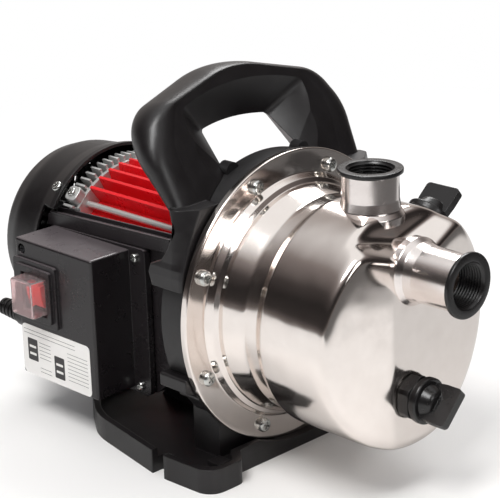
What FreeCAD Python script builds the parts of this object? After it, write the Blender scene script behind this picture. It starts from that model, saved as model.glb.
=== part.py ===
import FreeCAD, Part
import math
import os

# A self-priming garden jet pump: a stainless casing with two threaded ports, a finned motor
# behind it, a carrying handle, a moulded stand and a control box with a rocker switch.
# Millimetres. X runs along the shaft towards the suction port, Z is up, and the origin is on
# the floor below the shaft, in the plane of the casing flange's front face.
Vector = FreeCAD.Vector

# Heights and the casing
axis_height = 118.0
flange_radius = 109.0
sheet = 1.6
rim_depth = 5.0
flange_gap = 0.3
bolt_circle_radius = 98.0
casing_screw_count = 8
casing_screw_angle = 22.5
bead_radius = 88.4
bead_top_radius = 84.6
bead_depth = 11.3
gasket_inside = bead_radius + 3.1
gasket_back = -sheet - 1.8
waist_radius = 80.0
waist_end = 40.0
drum_radius = 85.0
drum_shoulder = 48.0
drum_front = 116.0
keel_drop = 10.0
front_edge_radius = 16.0
deck_rear = 50.0
deck_rear_height = 86.0
deck_edge = 94.5
deck_neck_height = 79.0
deck_side_rise = 0.1
valley_x = 98.0
valley_height = 61.5
valley_side_rise = 0.27

# Ports, each a steel neck with a plastic thread insert for a G1 pipe
port_thread_radius = 15.15
port_thread_length = 22.0
port_ring_radius = 23.0
port_ring_thickness = 3.0
neck_radius = 20.0
neck_wall = 1.5
discharge_x = 74.0
discharge_top = 110.6
suction_z = 44.9
suction_face = 161.0
discharge_neck_length = 36.0
suction_neck_length = 60.0
discharge_collar_depth = 33.5
suction_collar_depth = 46.0

# Filler and drain plugs
plug_thread_radius = 9.0
plug_bore_clearance = 0.05
plug_thread_length = 11.0
plug_head_radius = 16.8
plug_head_height = 5.5
plug_wing_width = 29.5
plug_wing_height = 22.0
plug_wing_thickness = 6.0
boss_radius = 12.0
filler_boss_radius = 14.0
drain_boss_radius = 17.0
gasket_thickness = 1.5
filler_x = 68.0
filler_angle = 50.0
filler_seat_radius = 86.3
drain_z = -48.0
drain_seat_x = 120.5

# Screws
screw_radius = 3.0
screw_head_radius = 5.5
screw_head_height = 4.5
screw_hole_clearance = 0.3
screw_small = 2.0

# Motor bracket, seal plate and motor
plate_rear = -5.4
seal_pocket_radius = 13.0
bracket_rear = -30.0
bracket_disc_radius = 104.5
barrel_radius = 76.0
motor_front = -60.0
motor_rear = -178.0
motor_wall_radius = 55.0
fin_radius = 70.7
fin_thickness = 2.4
fin_count = 40
stator_radius = 51.5
stator_bore_radius = 35.0
rotor_radius = 34.5
stack_front = -90.0
stack_rear = -152.0
shaft_radius = 7.0
shaft_bearing_radius = 7.5
bearing_radius = 17.5
bearing_width = 11.0
front_bearing_x = -52.0
rear_bearing_x = -187.0
running_clearance = 0.05
shield_rear = -192.0
comb_radius = 73.0
comb_count = 72
cover_front = -193.0
cover_waist = -212.0
cover_rear = -262.0
cover_rim_radius = 80.0
cowl_screw_x = shield_rear - 8
cowl_screw_angles = (45, 135, 270)
cowl_screw_head = 4.2
cover_radius = 74.0
cover_wall = 2.5
fan_radius = 58.0
fan_blade_count = 7
tie_rod_radius = 2.5
tie_rod_circle = 62.0

# Pump inside
impeller_radius = 56.0
impeller_front = 27.0
impeller_rear = 13.0
impeller_vane_count = 6
diffuser_radius = 73.0
diffuser_front = 34.0
diffuser_vane_count = 5
venturi_radius = 15.0
venturi_bore = 8.5

# Carrying handle, a ring that leans back from the flange
handle_lean = 28.0
handle_root_x = -7.0
handle_root_z = 58.0

# Stand
stand_front = 5.5
stand_rear = -168.0
stand_half_width = 108.0
stand_thickness = 18.5
slot_x = -35.5
slot_width = 13.0
slot_depth = 15.0
slot_centre_y = stand_half_width + 1 - slot_depth + slot_width / 2
column_front = -6.5
column_rear = -33.0
column_half_width = 75.0

# Control box
box_front = -110.0
box_rear = -200.0
box_outer = -101.0
box_parting = -64.0
box_top = 27.0
box_bottom = -84.0
box_wall = 2.5
box_ear = 18.0
box_gasket = 1.5
cover_back = -59.0
tray_face = cover_back + box_gasket
tray_back = tray_face + 4.5
tray_top = 42.0
tray_fall = 6.5
tray_front_x = -62.0
pad_inner = -40.0
collar_half = 25.0
collar_x = -175.5
collar_height = 5.0
switch_x = -173.5
switch_z = -12.5
rocker_half_x = 8.0
rocker_half_z = 9.0
switch_half_x = rocker_half_x + 4
switch_half_z = rocker_half_z + 4
rocker_pivot_y = box_outer + 3
rocker_tilt = 9.0
cap_depth = 16.0
gland_z = -46.0
gland_y = -82.0
gland_radius = 8.0
gland_bore = 4.6
gland_thread_radius = gland_radius - 1.5

os.makedirs("parts", exist_ok=True)


def at(x, y, z):
    """A point given from the shaft axis."""
    return Vector(x, y, z + axis_height)


def rounded_wire(corners, place):
    """A closed wire through (u, v) or (u, v, corner radius) points, with tangent arcs."""
    count = len(corners)
    points = [Vector(corner[0], corner[1], 0) for corner in corners]
    radii = [corner[2] if len(corner) > 2 else 0.0 for corner in corners]
    starts = []
    ends = []
    middles = []
    for index in range(count):
        here = points[index]
        back = (points[index - 1] - here).normalize()
        onward = (points[(index + 1) % count] - here).normalize()
        half = back.getAngle(onward) / 2
        reach = radii[index] / math.tan(half)
        starts.append(here + back * reach)
        ends.append(here + onward * reach)
        bisector = back + onward
        if radii[index] > 0:
            bisector.normalize()
        depth = radii[index] / math.sin(half) - radii[index]
        middles.append(here + bisector * depth)
    edges = []
    for index in range(count):
        if radii[index] > 0:
            arc = Part.Arc(place(starts[index]), place(middles[index]), place(ends[index]))
            edges.append(arc.toShape())
        following = starts[(index + 1) % count]
        if (following - ends[index]).Length > 1e-6:
            edges.append(Part.makeLine(place(ends[index]), place(following)))
    return Part.Wire(edges)


def turned(corners, turn=360):
    """A solid of revolution about the shaft from (x, radius) corners."""
    wire = rounded_wire(corners, lambda p: at(p.x, 0, p.y))
    return Part.Face(wire).revolve(at(0, 0, 0), Vector(1, 0, 0), turn)


def plate_x(corners, x_low, x_high):
    """A prism along X from (y, z) corners given from the shaft axis."""
    wire = rounded_wire(corners, lambda p: at(x_low, p.x, p.y))
    return Part.Face(wire).extrude(Vector(x_high - x_low, 0, 0))


def plate_y(corners, y_low, y_high):
    """A prism along Y from (x, z) corners given from the shaft axis."""
    wire = rounded_wire(corners, lambda p: at(p.x, y_low, p.y))
    return Part.Face(wire).extrude(Vector(0, y_high - y_low, 0))


def plate_z(corners, z_low, z_high):
    """A prism along Z from (x, y) corners, with heights given from the shaft axis."""
    wire = rounded_wire(corners, lambda p: at(p.x, p.y, z_low))
    return Part.Face(wire).extrude(Vector(0, 0, z_high - z_low))


def turned_on(corners, base, direction):
    """A solid of revolution from (distance along the axis, radius) corners."""
    wire = rounded_wire(corners, lambda p: Vector(p.y, 0, p.x))
    solid = Part.Face(wire).revolve(Vector(0, 0, 0), Vector(0, 0, 1), 360)
    solid.Placement = FreeCAD.Placement(base, FreeCAD.Rotation(Vector(0, 0, 1), direction))
    return solid


def rod(radius, start, direction, length):
    return Part.makeCylinder(radius, length, start, direction)


def ring(outer, inner, x_low, x_high):
    """A tube about the shaft."""
    length = x_high - x_low
    along = Vector(1, 0, 0)
    return rod(outer, at(x_low, 0, 0), along, length).cut(rod(inner, at(x_low, 0, 0), along, length))


def block(x_low, x_high, y_low, y_high, z_low, z_high):
    """A box whose heights are given from the shaft axis."""
    return Part.makeBox(x_high - x_low, y_high - y_low, z_high - z_low, at(x_low, y_low, z_low))


def around_shaft(shape, count, first=0.0):
    copies = []
    for index in range(count):
        copy = shape.copy()
        copy.rotate(at(0, 0, 0), Vector(1, 0, 0), first + 360.0 * index / count)
        copies.append(copy)
    return copies


def joined(shapes):
    whole = shapes[0].fuse(shapes[1:]) if len(shapes) > 1 else shapes[0]
    return whole.removeSplitter()


def save(name, shape):
    """Write one node, and stop if any of its solids is open or empty."""
    if not shape.isValid() or shape.Volume <= 0:
        raise ValueError(name + " is not a valid solid")
    shape.exportStep("parts/" + name + ".step")
    box = shape.BoundBox
    print(name, len(shape.Solids), round(shape.Volume), [round(v, 1) for v in
          (box.XMin, box.XMax, box.YMin, box.YMax, box.ZMin, box.ZMax)])


def on_circle(radius, degrees, x=0.0):
    """A point at a radius from the shaft, with the angle measured from +Y towards +Z."""
    angle = math.radians(degrees)
    return at(x, radius * math.cos(angle), radius * math.sin(angle))


def pan_screw(seat, direction, length, radius=screw_radius, head=screw_head_radius,
              height=screw_head_height):
    """A domed screw whose head sits at seat; its shank runs back against direction."""
    outline = [(-length, 0), (-length, radius, 0.3), (0, radius), (0, head),
               (height, head, height * 0.55), (height, 0)]
    screw = turned_on(outline, Vector(0, 0, 0), Vector(0, 0, 1))
    reach = head * 0.55
    half = head * 0.1
    depth = height * 0.45
    for turn in (0, 90):
        slot = Part.makeBox(2 * reach, 2 * half, depth, Vector(-reach, -half, height - depth))
        slot.rotate(Vector(0, 0, 0), Vector(0, 0, 1), turn)
        screw = screw.cut(slot)
    screw.Placement = FreeCAD.Placement(seat, FreeCAD.Rotation(Vector(0, 0, 1), direction))
    return screw


def casing_profile(skin):
    """The turned outline of the pressing: flange, bead, waist and drum, thinned by skin."""
    rear = -rim_depth - 10 * skin
    step = bead_radius + 2.6
    return [(rear, 0), (rear, flange_radius - skin), (-skin, flange_radius - skin, 1.0),
            (-skin, step - skin, 1.5), (5.4, bead_radius - skin, 1.5),
            (7.6, bead_top_radius + 0.6 - skin, 0.8), (bead_depth, bead_top_radius - skin, 1.2),
            (27, waist_radius - skin, 12), (waist_end, waist_radius - skin, 3),
            (drum_shoulder, drum_radius - skin, 4),
            (drum_front - skin, drum_radius - skin, front_edge_radius), (drum_front - skin, 0)]


def casing_form(skin):
    """The drum with its keeled front, the deck round the top port and the V in front of it."""
    drum = turned(casing_profile(skin))
    wide = flange_radius + 10
    nose = drum_front - skin
    rear = -60
    keel = plate_z([(rear, -wide), (nose - keel_drop - 6, -wide), (nose - 1.5, -24, 20),
                    (nose, 0, 60), (nose - 1.5, 24, 20), (nose - keel_drop - 6, wide),
                    (rear, wide)], -wide, wide)
    form = drum.common(keel)
    above = wide + 20
    beyond = wide + 30
    deck = [(deck_rear - 10, deck_rear_height + 1), (deck_rear + 4, deck_rear_height - skin, 20),
            (deck_edge, deck_neck_height - skin, 5), (beyond, deck_neck_height - 8 - skin),
            (beyond, above), (deck_rear - 10, above)]
    notch = [(deck_edge - 1, deck_neck_height + 2 - skin), (valley_x - skin, valley_height - skin, 7),
             (beyond, valley_height - 19 - skin), (beyond, above), (deck_edge - 1, above)]
    for outline, rise in ((deck, deck_side_rise), (notch, valley_side_rise)):
        face = Part.Face(rounded_wire(outline, lambda p: at(p.x, 0, p.y)))
        for side in (-1, 1):
            form = form.cut(face.extrude(Vector(0, side * wide, wide * rise)))
    return form


def discharge_seat():
    return at(discharge_x, 0, discharge_top), Vector(0, 0, 1)


def suction_seat():
    return at(suction_face, 0, suction_z), Vector(1, 0, 0)


def make_casing():
    """The one-piece steel pressing with its port, plug and screw holes."""
    shell = casing_form(0).cut(casing_form(sheet))
    for (seat, direction), length in ((discharge_seat(), 60), (suction_seat(), suction_neck_length
                                      + port_ring_thickness)):
        shell = shell.cut(rod(neck_radius, seat - direction * length, direction, length))
    for seat, direction in (filler_seat(), drain_seat()):
        shell = shell.cut(rod(boss_radius, seat - direction * 25, direction, 40))
    save("pump_casing", screw_ring_holes(shell, screw_radius + screw_hole_clearance, -20, 20))


def make_neck(name, seat, direction, length, collar_depth):
    """A steel neck welded into the casing: a plain tube with a flared weld collar."""
    inner = neck_radius - neck_wall
    base = seat - direction * (length + port_ring_thickness)
    tube = turned_on([(0, inner), (0, neck_radius), (length, neck_radius), (length, inner)],
                     base, direction)
    foot = seat - direction * collar_depth
    buried = neck_radius - 0.5
    collar = turned_on([(-4, buried), (-4, neck_radius + 4.2), (1.5, neck_radius + 4.2, 1.5),
                        (5, neck_radius + 1.4, 3), (12, neck_radius + 0.3, 4), (12, buried)],
                       foot, direction)
    save(name, tube.fuse(collar.cut(casing_form(0))).removeSplitter())


def make_thread_insert(name, seat, direction):
    """A black plastic insert: a flat ring over the neck and a ribbed threaded sleeve in it."""
    outside = neck_radius - neck_wall
    ring_back = -port_ring_thickness
    outline = [(-port_thread_length, port_thread_radius), (-port_thread_length, outside, 1),
               (ring_back, outside), (ring_back, port_ring_radius, 0.6),
               (0, port_ring_radius, 0.8), (0, port_thread_radius)]
    save(name, turned_on(outline, seat, direction))


def filler_seat():
    angle = math.radians(filler_angle)
    direction = Vector(0, math.sin(angle), math.cos(angle))
    return at(filler_x, 0, 0) + direction * filler_seat_radius, direction


def drain_seat():
    return at(drain_seat_x, 0, drain_z), Vector(1, 0, 0)


def make_plug(name, seat, direction, wing_way, boss_outside, boss_sides):
    """Boss, gasket and winged screw plug on one axis."""
    bore = plug_thread_radius + plug_bore_clearance
    inner_part = turned_on([(-14, bore), (-14, boss_radius), (-1, boss_radius), (-1, bore)],
                           seat, direction)
    outer_part = turned_on([(-14, bore), (-14, boss_outside, 1), (0, boss_outside, 1), (0, bore)],
                           seat, direction)
    if boss_sides:
        flat = boss_outside * math.cos(math.pi / boss_sides) + 0.8
        for index in range(boss_sides):
            side = Part.makeBox(10, 60, 60, Vector(flat, -30, -30))
            side.rotate(Vector(0, 0, 0), Vector(0, 0, 1), 360.0 / boss_sides * (index + 0.5))
            side.Placement = FreeCAD.Placement(seat, FreeCAD.Rotation(Vector(0, 0, 1), direction)
                                               ).multiply(side.Placement)
            outer_part = outer_part.cut(side)
    outer_part = outer_part.cut(casing_form(0))
    save(name + "_boss", outer_part.fuse(inner_part).removeSplitter())
    rim = plug_head_radius - 1.5
    save(name + "_gasket", turned_on([(0, bore), (0, rim), (gasket_thickness, rim),
                                      (gasket_thickness, bore)], seat, direction))
    head = gasket_thickness
    top = head + plug_head_height
    lead = 3 - plug_thread_length
    body = turned_on([(-plug_thread_length, 0), (-plug_thread_length, 5.5), (lead, 5.5),
                      (lead, plug_thread_radius, 1), (head, plug_thread_radius),
                      (head, plug_head_radius, 1), (top, plug_head_radius, 1.5),
                      (top, 12.5), (top + 8, 9, 4), (top + 8, 0)], seat, direction)
    half = plug_wing_width / 2
    across = direction.cross(wing_way).normalize()
    base = seat - across * (plug_wing_thickness / 2)
    corners = [(top - 1, 1 - half), (top + 9, -half, 20), (top + plug_wing_height, -half, 3),
               (top + plug_wing_height, half, 3), (top + 9, half, 20), (top - 1, half - 1)]
    wire = rounded_wire(corners, lambda p: base + direction * p.x + wing_way * p.y)
    wing = Part.Face(wire).extrude(across * plug_wing_thickness)
    save(name + "_plug", body.fuse(wing).removeSplitter())


def make_casing_screws():
    screws = []
    for index in range(casing_screw_count):
        angle = casing_screw_angle + 360.0 / casing_screw_count * index
        screws.append(pan_screw(on_circle(bolt_circle_radius, angle), Vector(1, 0, 0), 17))
    save("casing_screws", Part.makeCompound(screws))


def screw_ring_holes(shape, radius, x_low, x_high):
    hole = rod(radius, at(x_low, bolt_circle_radius, 0), Vector(1, 0, 0), x_high - x_low)
    for cutter in around_shaft(hole, casing_screw_count, casing_screw_angle):
        shape = shape.cut(cutter)
    return shape


def make_gasket_and_plate():
    clear = screw_radius + screw_hole_clearance
    outside = flange_radius - sheet - 1
    gasket = ring(outside, gasket_inside, gasket_back, -sheet)
    save("casing_gasket", screw_ring_holes(gasket, clear, plate_rear, 0))
    pocket_floor = plate_rear + 1.5
    plate = turned([(plate_rear, seal_pocket_radius - 3), (plate_rear, outside),
                    (gasket_back, outside), (gasket_back, 30, 2), (1.5, 22, 2),
                    (1.5, seal_pocket_radius), (pocket_floor, seal_pocket_radius),
                    (pocket_floor, seal_pocket_radius - 3)])
    save("seal_plate", screw_ring_holes(plate, clear, plate_rear - 1, 0))


def bracket_core():
    """The motor bracket: a ribbed disc, a barrel spigot and a bearing hub."""
    disc = ring(bracket_disc_radius, 24, plate_rear - 6, plate_rear)
    rim = ring(bracket_disc_radius, bracket_disc_radius - 5, bracket_rear, plate_rear)
    barrel = ring(barrel_radius, barrel_radius - 5, motor_front, plate_rear)
    spigot = ring(stator_radius - 0.7, stator_radius - 4, motor_front - 5, motor_front + 8)
    flange = ring(barrel_radius, stator_radius - 4, motor_front, motor_front + 8)
    web = ring(barrel_radius - 2, 20, -44, -38)
    hub = ring(24, bearing_radius + running_clearance, front_bearing_x - bearing_width / 2, -40)
    shoulder = ring(24, 13, -40, -34)
    ribs = around_shaft(block(bracket_rear + 2, plate_rear - 3, barrel_radius - 1,
                              bracket_disc_radius - 2, -2, 2), 12, 0)
    inner_ribs = around_shaft(block(-48, -38, 21, barrel_radius - 3, -2.5, 2.5), 6, 30)
    sill_lugs = [rod(6, at(bracket_rear - 3, side * 36, 98), Vector(1, 0, 0), 9)
                 for side in (-1, 1)]
    return joined([disc, rim, barrel, spigot, flange, web, hub, shoulder]
                  + ribs + inner_ribs + sill_lugs)


def make_bracket():
    bracket = bracket_core()
    bracket = screw_ring_holes(bracket, screw_radius + 0.02, bracket_rear - 2, 0)
    rod_hole = rod(tie_rod_radius + 0.02, at(motor_front - 1, tie_rod_circle, 0),
                   Vector(1, 0, 0), 14)
    for cutter in around_shaft(rod_hole, 4, 45):
        bracket = bracket.cut(cutter)
    for seat, direction in handle_screw_seats() + stand_screw_seats():
        bracket = bracket.cut(rod(screw_radius + 0.02, seat - direction * 16, direction, 30))
    save("motor_bracket", bracket)


def lean_place(y, v, n):
    """A point on the leaning handle: v runs up the lean and n forward out of its front."""
    lean = math.radians(handle_lean)
    up = Vector(-math.sin(lean), 0, math.cos(lean))
    out = Vector(math.cos(lean), 0, math.sin(lean))
    root = at(handle_root_x, 0, handle_root_z)
    return root + up * v + out * n + Vector(0, y, 0)


def lean_outline(corners, depth, tilt, pivot):
    """One closed outline on a plane that tilts about the height pivot."""
    right = [(-u, v, r) for u, v, r in reversed(corners) if u]
    return rounded_wire(corners + right,
                        lambda p: lean_place(p.x, p.y, depth + tilt * (p.y - pivot)))


def arch(low_width, width, shoulder, shoulder_height, crown, corner):
    """The left half and the crown of one arched outline, in the handle's leaning plane."""
    return [(-low_width, 0, 4), (-width, 70, 40), (-shoulder, shoulder_height, corner),
            (0, crown, 90)]


def hand_opening():
    """A funnel that narrows from the front crease to a throat, then opens again behind."""
    crease = lean_outline([(-66, 20, 4), (-78, 70, 40), (-63, 98, 10), (0, 118, 190)],
                          6, 0.04, 80)
    throat = lean_outline([(-40, 36, 4), (-39, 47, 40), (-33, 80, 5), (0, 87.5, 150)],
                          -16.5, -0.43, 80)
    back = lean_outline([(-60, 34, 4), (-58, 55, 40), (-50, 85, 10), (0, 94, 120)],
                        -36, -0.15, 80)
    return Part.makeLoft([crease, throat], True, True).fuse(
        Part.makeLoft([throat, back], True, True))


def leg_foot(side):
    """The lower end of one leg, flaring backwards into a lip round the bracket."""
    sections = [(84, -26, 66, 84, 98), (70, -19, 72, 92, 101), (56, -24, 74, 98, 103),
                (47, -30, 74, 102, 104), (43, -40, 74, 104, 105), (37, -42, 76, 105, 105.5),
                (28, -39, 76, 105, 105.5)]
    wires = []
    for z, rear, inner, front_out, outer in sections:
        wires.append(plan_wire([(handle_root_x, side * inner), (handle_root_x, side * front_out, 3),
                                (handle_root_x - 10, side * outer, 5), (rear, side * outer, 3),
                                (rear, side * inner)], z))
    return Part.makeLoft(wires, True, True)


def plan_wire(corners, z):
    return rounded_wire(corners, lambda p: at(p.x, p.y, z))


def make_handle():
    """The leaning handle ring, its hand opening and its two flared feet."""
    sections = [(arch(67, 79.2, 64.5, 99, 119, 12), 3, 0.04),
                (arch(91, 100, 85, 101.5, 125.5, 36), -6, -0.02),
                (arch(80, 95, 88, 103, 130, 36), -21, -0.1),
                (arch(70, 84.5, 80, 101, 126.5, 34), -31, -0.15)]
    wires = [lean_outline(corners, depth, tilt, 80) for corners, depth, tilt in sections]
    handle = Part.makeLoft(wires, True, False).cut(hand_opening())
    handle = joined([handle.cut(block(-150, 60, -140, 140, -90, 70)), leg_foot(-1), leg_foot(1)])
    skirt = rod(bracket_disc_radius + 0.05, at(bracket_rear, 0, 0), Vector(1, 0, 0), 60)
    handle = handle.cut(skirt)
    handle = handle.cut(rod(barrel_radius + 0.05, at(-150, 0, 0), Vector(1, 0, 0), 150))
    handle = handle.cut(block(handle_root_x, 60, -140, 140, -90, 200))
    for lug in (-1, 1):
        handle = handle.cut(rod(6.3, at(bracket_rear - 4, lug * 36, 98), Vector(1, 0, 0), 10))
    for seat, direction in handle_screw_seats():
        handle = handle.cut(rod(screw_radius + screw_hole_clearance, seat - direction * 30,
                                direction, 30))
        handle = handle.cut(rod(screw_head_radius + 0.5, seat, direction, 60))
    save("carry_handle", handle)


def handle_screw_seats():
    seats = []
    for side in (-1, 1):
        seats.append((at(bracket_rear - 6, side * 91, 38), Vector(-1, 0, 0)))
        seats.append((at(bracket_rear - 6, side * 62, 78), Vector(-1, 0, 0)))
    return seats


def stand_screw_seats():
    seats = []
    for side in (-1, 1):
        seats.append((at(bracket_rear - 3, side * 82, -50), Vector(-1, 0, 0)))
        seats.append((at(bracket_rear - 3, side * 52, -80), Vector(-1, 0, 0)))
    return seats


def make_bracket_screws():
    for name, seats in (("handle_screws", handle_screw_seats()),
                        ("stand_screws", stand_screw_seats())):
        save(name, Part.makeCompound([pan_screw(seat, direction, 14)
                                      for seat, direction in seats]))


def stand_outline(inset, z_low, z_high):
    """The stand's plan: straight in front between two feet, tapering to a round tail."""
    front = stand_front - inset
    foot = stand_front + 13 - inset
    side = stand_half_width - inset
    tail = stand_rear + inset
    right = [(front, 66 + inset, 2), (foot, 77 + inset, 7), (foot, side, 14),
             (slot_x + 10, side + 2, 8), (slot_x - 8, side + 1, 8), (-122, 94 - inset, 60),
             (tail, 62 - inset, 42)]
    left = [(x, -y, r) for x, y, r in reversed(right)]
    return plate_z(right + left, z_low, z_high)


def make_stand():
    """Base plate with a dished top and ribbed underside, column, saddle and rear pedestal."""
    floor = -axis_height
    top = floor + stand_thickness
    plate = stand_outline(0, floor, top)
    plate = plate.cut(stand_outline(5, top - 7, top + 1))
    hollow = stand_outline(6, floor - 1, top - 11)
    keep = [block(-16, 30, -140, 140, floor - 2, top)]
    for x in (-62, -100, -138):
        keep.append(block(x - 2, x + 2, -140, 140, floor - 2, top))
    for y in (-60, -20, 20, 60):
        keep.append(block(stand_rear, 30, y - 2, y + 2, floor - 2, top))
    for side in (-1, 1):
        keep.append(rod(slot_width, at(slot_x, side * slot_centre_y, floor - 2),
                        Vector(0, 0, 1), stand_thickness))
    for solid in keep:
        hollow = hollow.cut(solid)
    plate = plate.cut(hollow)
    half = column_half_width
    outer = bracket_disc_radius + 1
    column = plate_x([(-half, floor + 9), (-half, -66, 6), (-half - 13, -60, 3),
                      (-half - 13, -53, 3), (-outer, -47, 2), (-outer, -37, 2), (-40, -37),
                      (40, -37), (outer, -37, 2), (outer, -47, 2), (half + 13, -53, 3),
                      (half + 13, -60, 3), (half, -66, 6), (half, floor + 9)],
                     column_rear, column_front)
    pedestal = plate_y([(column_rear + 2, floor + 9), (-128, floor + 9), (-104, -84, 12),
                        (-64, -70, 6), (column_rear + 2, -70)], -24, 24)
    feet = []
    for side in (-1, 1):
        feet.append(block(-4, 8, side * 84 - 6, side * 84 + 6, floor + 1, top - 3))
    stand = joined([plate, column, pedestal] + feet)
    pocket = block(column_rear + 4, column_front - 4, -half + 5, half - 5, floor - 1, -112)
    stand = stand.cut(pocket)
    stand = stand.cut(rod(bracket_disc_radius + 0.05, at(bracket_rear, 0, 0), Vector(1, 0, 0), 60))
    stand = stand.cut(rod(flange_radius + flange_gap, at(-rim_depth - flange_gap, 0, 0),
                          Vector(1, 0, 0), stand_front + 30))
    stand = stand.cut(rod(barrel_radius + 0.05, at(-70, 0, 0), Vector(1, 0, 0), 70))
    stand = stand.cut(rod(fin_radius + 2, at(-200, 0, 0), Vector(1, 0, 0), 140))
    for side in (-1, 1):
        centre = at(slot_x, side * slot_centre_y, floor - 2)
        stand = stand.cut(rod(slot_width / 2, centre, Vector(0, 0, 1), 40))
        low = min(side * slot_centre_y, side * 130)
        high = max(side * slot_centre_y, side * 130)
        stand = stand.cut(block(slot_x - slot_width / 2, slot_x + slot_width / 2, low, high,
                                floor - 2, top + 2))
    for seat, direction in stand_screw_seats():
        stand = stand.cut(rod(screw_radius + screw_hole_clearance, seat - direction * 30,
                              direction, 30))
        stand = stand.cut(rod(screw_head_radius + 0.5, seat, direction, 30))
    save("stand", stand)


def make_motor_housing():
    """The red extruded housing: a wall with lengthwise fins, cut flat beside the box."""
    wall = ring(motor_wall_radius, stator_radius, motor_rear, motor_front)
    fins = []
    for index in range(fin_count):
        degrees = index * 360.0 / fin_count
        if abs(degrees % 90 - 45) > 1:
            fin = block(motor_rear, motor_front, motor_wall_radius - 0.5, fin_radius,
                        -fin_thickness / 2, fin_thickness / 2)
            fin.rotate(at(0, 0, 0), Vector(1, 0, 0), degrees)
            fins.append(fin)
    housing = joined([wall] + fins)
    flat = box_recess(motor_rear - 1, motor_front + 1).cut(
        rod(motor_wall_radius, at(motor_rear - 1, 0, 0), Vector(1, 0, 0), 200))
    save("motor_housing", housing.cut(flat))


def box_recess(x_low, x_high):
    """The flat beside the control box that housing, shield and cowl leave free."""
    return block(x_low, x_high, -120, tray_back + 0.3, -90, tray_top + 0.6)


def make_end_shield():
    """The raw aluminium rear shield with its comb of short cooling teeth."""
    body = ring(motor_wall_radius, motor_wall_radius - 6, shield_rear, motor_rear)
    spigot = ring(stator_radius - 0.05, stator_radius - 4, motor_rear, motor_rear + 6)
    web = ring(motor_wall_radius - 5, 20, rear_bearing_x + 4, rear_bearing_x + 9)
    hub = ring(23, bearing_radius + running_clearance, rear_bearing_x - bearing_width / 2,
               rear_bearing_x + 9)
    shoulder = ring(23, 12, rear_bearing_x + bearing_width / 2, rear_bearing_x + 9)
    tooth = block(shield_rear, motor_rear - 3, motor_wall_radius - 0.5, comb_radius, -0.9, 0.9)
    rim = ring(comb_radius - 4, motor_wall_radius - 1, motor_rear - 3, motor_rear)
    teeth = around_shaft(tooth, comb_count, 180.0 / comb_count)
    lug = rod(6, at(shield_rear, tie_rod_circle, 0), Vector(1, 0, 0), motor_rear - shield_rear)
    shield = joined([body, web, hub, shoulder, spigot, rim] + teeth + around_shaft(lug, 4, 45))
    rod_hole = rod(tie_rod_radius + 0.05, at(shield_rear - 1, tie_rod_circle, 0),
                   Vector(1, 0, 0), 30)
    for cutter in around_shaft(rod_hole, 4, 45):
        shield = shield.cut(cutter)
    flat = box_recess(shield_rear - 1, motor_rear + 0.1).cut(
        rod(motor_wall_radius, at(shield_rear - 1, 0, 0), Vector(1, 0, 0), 20))
    save("rear_end_shield", shield.cut(flat))


def make_tie_rods():
    """Four long rods that clamp housing, bracket and shield together."""
    length = motor_front - shield_rear + 12
    outline = [(-2, 0), (-2, tie_rod_radius + 1.7, 0.8), (0, tie_rod_radius + 1.7),
               (0, tie_rod_radius), (length, tie_rod_radius), (length, 0)]
    single = turned_on(outline, at(shield_rear, tie_rod_circle, 0), Vector(1, 0, 0))
    save("tie_rods", Part.makeCompound(around_shaft(single, 4, 45)))


def at_cowl_screws(shape):
    """Copies of a shape drawn on the +Y side, one at each of the cowl's screws."""
    copies = []
    for degrees in cowl_screw_angles:
        copy = shape.copy()
        copy.rotate(at(0, 0, 0), Vector(1, 0, 0), degrees)
        copies.append(copy)
    return copies


def make_fan_cover():
    """A domed plastic cowl with a slotted rear grille and a flared front rim."""
    wall = cover_wall
    outside = cowl_outline(0) + [(cover_rear, cover_radius - 8, 15), (cover_rear, 0)]
    inside = cowl_outline(wall) + [(cover_rear + wall, cover_radius - 8 - wall, 13),
                                   (cover_rear + wall, 0)]
    cover = turned(outside).cut(turned(inside))
    slot = plate_x([(16, -1.6, 1), (54, -1.6, 1), (54, 1.6, 1), (16, 1.6, 1)],
                   cover_rear - 5, cover_rear + 12)
    for cutter in around_shaft(slot, 24, 0):
        cover = cover.cut(cutter)
    boss_reach = cover_rim_radius - 2 - comb_radius
    boss = rod(5, at(cowl_screw_x, comb_radius - 3.4, 0), Vector(0, 1, 0), boss_reach + 3.4)
    cover = joined([cover] + at_cowl_screws(boss))
    hole = rod(screw_small + 0.05, at(cowl_screw_x, 60, 0), Vector(0, 1, 0), 40)
    pocket = rod(cowl_screw_head + screw_hole_clearance,
                 at(cowl_screw_x, cover_rim_radius - 1, 0), Vector(0, 1, 0), 10)
    for cutter in at_cowl_screws(hole) + at_cowl_screws(pocket):
        cover = cover.cut(cutter)
    save("fan_cover", cover.cut(box_recess(cover_front - 15, cover_front + 5)))


def cowl_outline(inset):
    """The cowl's side from its rim to the tail, moved in by inset."""
    front = cover_front + (1 if inset else 0)
    flare = cover_rim_radius - 0.4 - inset
    return [(front, 0), (front, cover_rim_radius - inset), (cover_front - 5, flare, 3),
            (cover_waist, cover_radius + 2.2 - inset, 20),
            (cover_rear + 24, cover_radius - inset, 30)]


def make_cowl_fixings():
    """Bent tabs on the shield that take the cowl's radial screws."""
    tab = block(cowl_screw_x - 6, shield_rear, comb_radius - 6.4, comb_radius - 3.4, -6, 6)
    tab = tab.cut(rod(screw_small, at(cowl_screw_x, 50, 0), Vector(0, 1, 0), 40))
    seat = at(cowl_screw_x, cover_rim_radius - 1, 0)
    screw = pan_screw(seat, Vector(0, 1, 0), 15, screw_small, cowl_screw_head, 3.0)
    save("fan_cover_tabs", Part.makeCompound(at_cowl_screws(tab)))
    save("fan_cover_screws", Part.makeCompound(at_cowl_screws(screw)))


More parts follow.
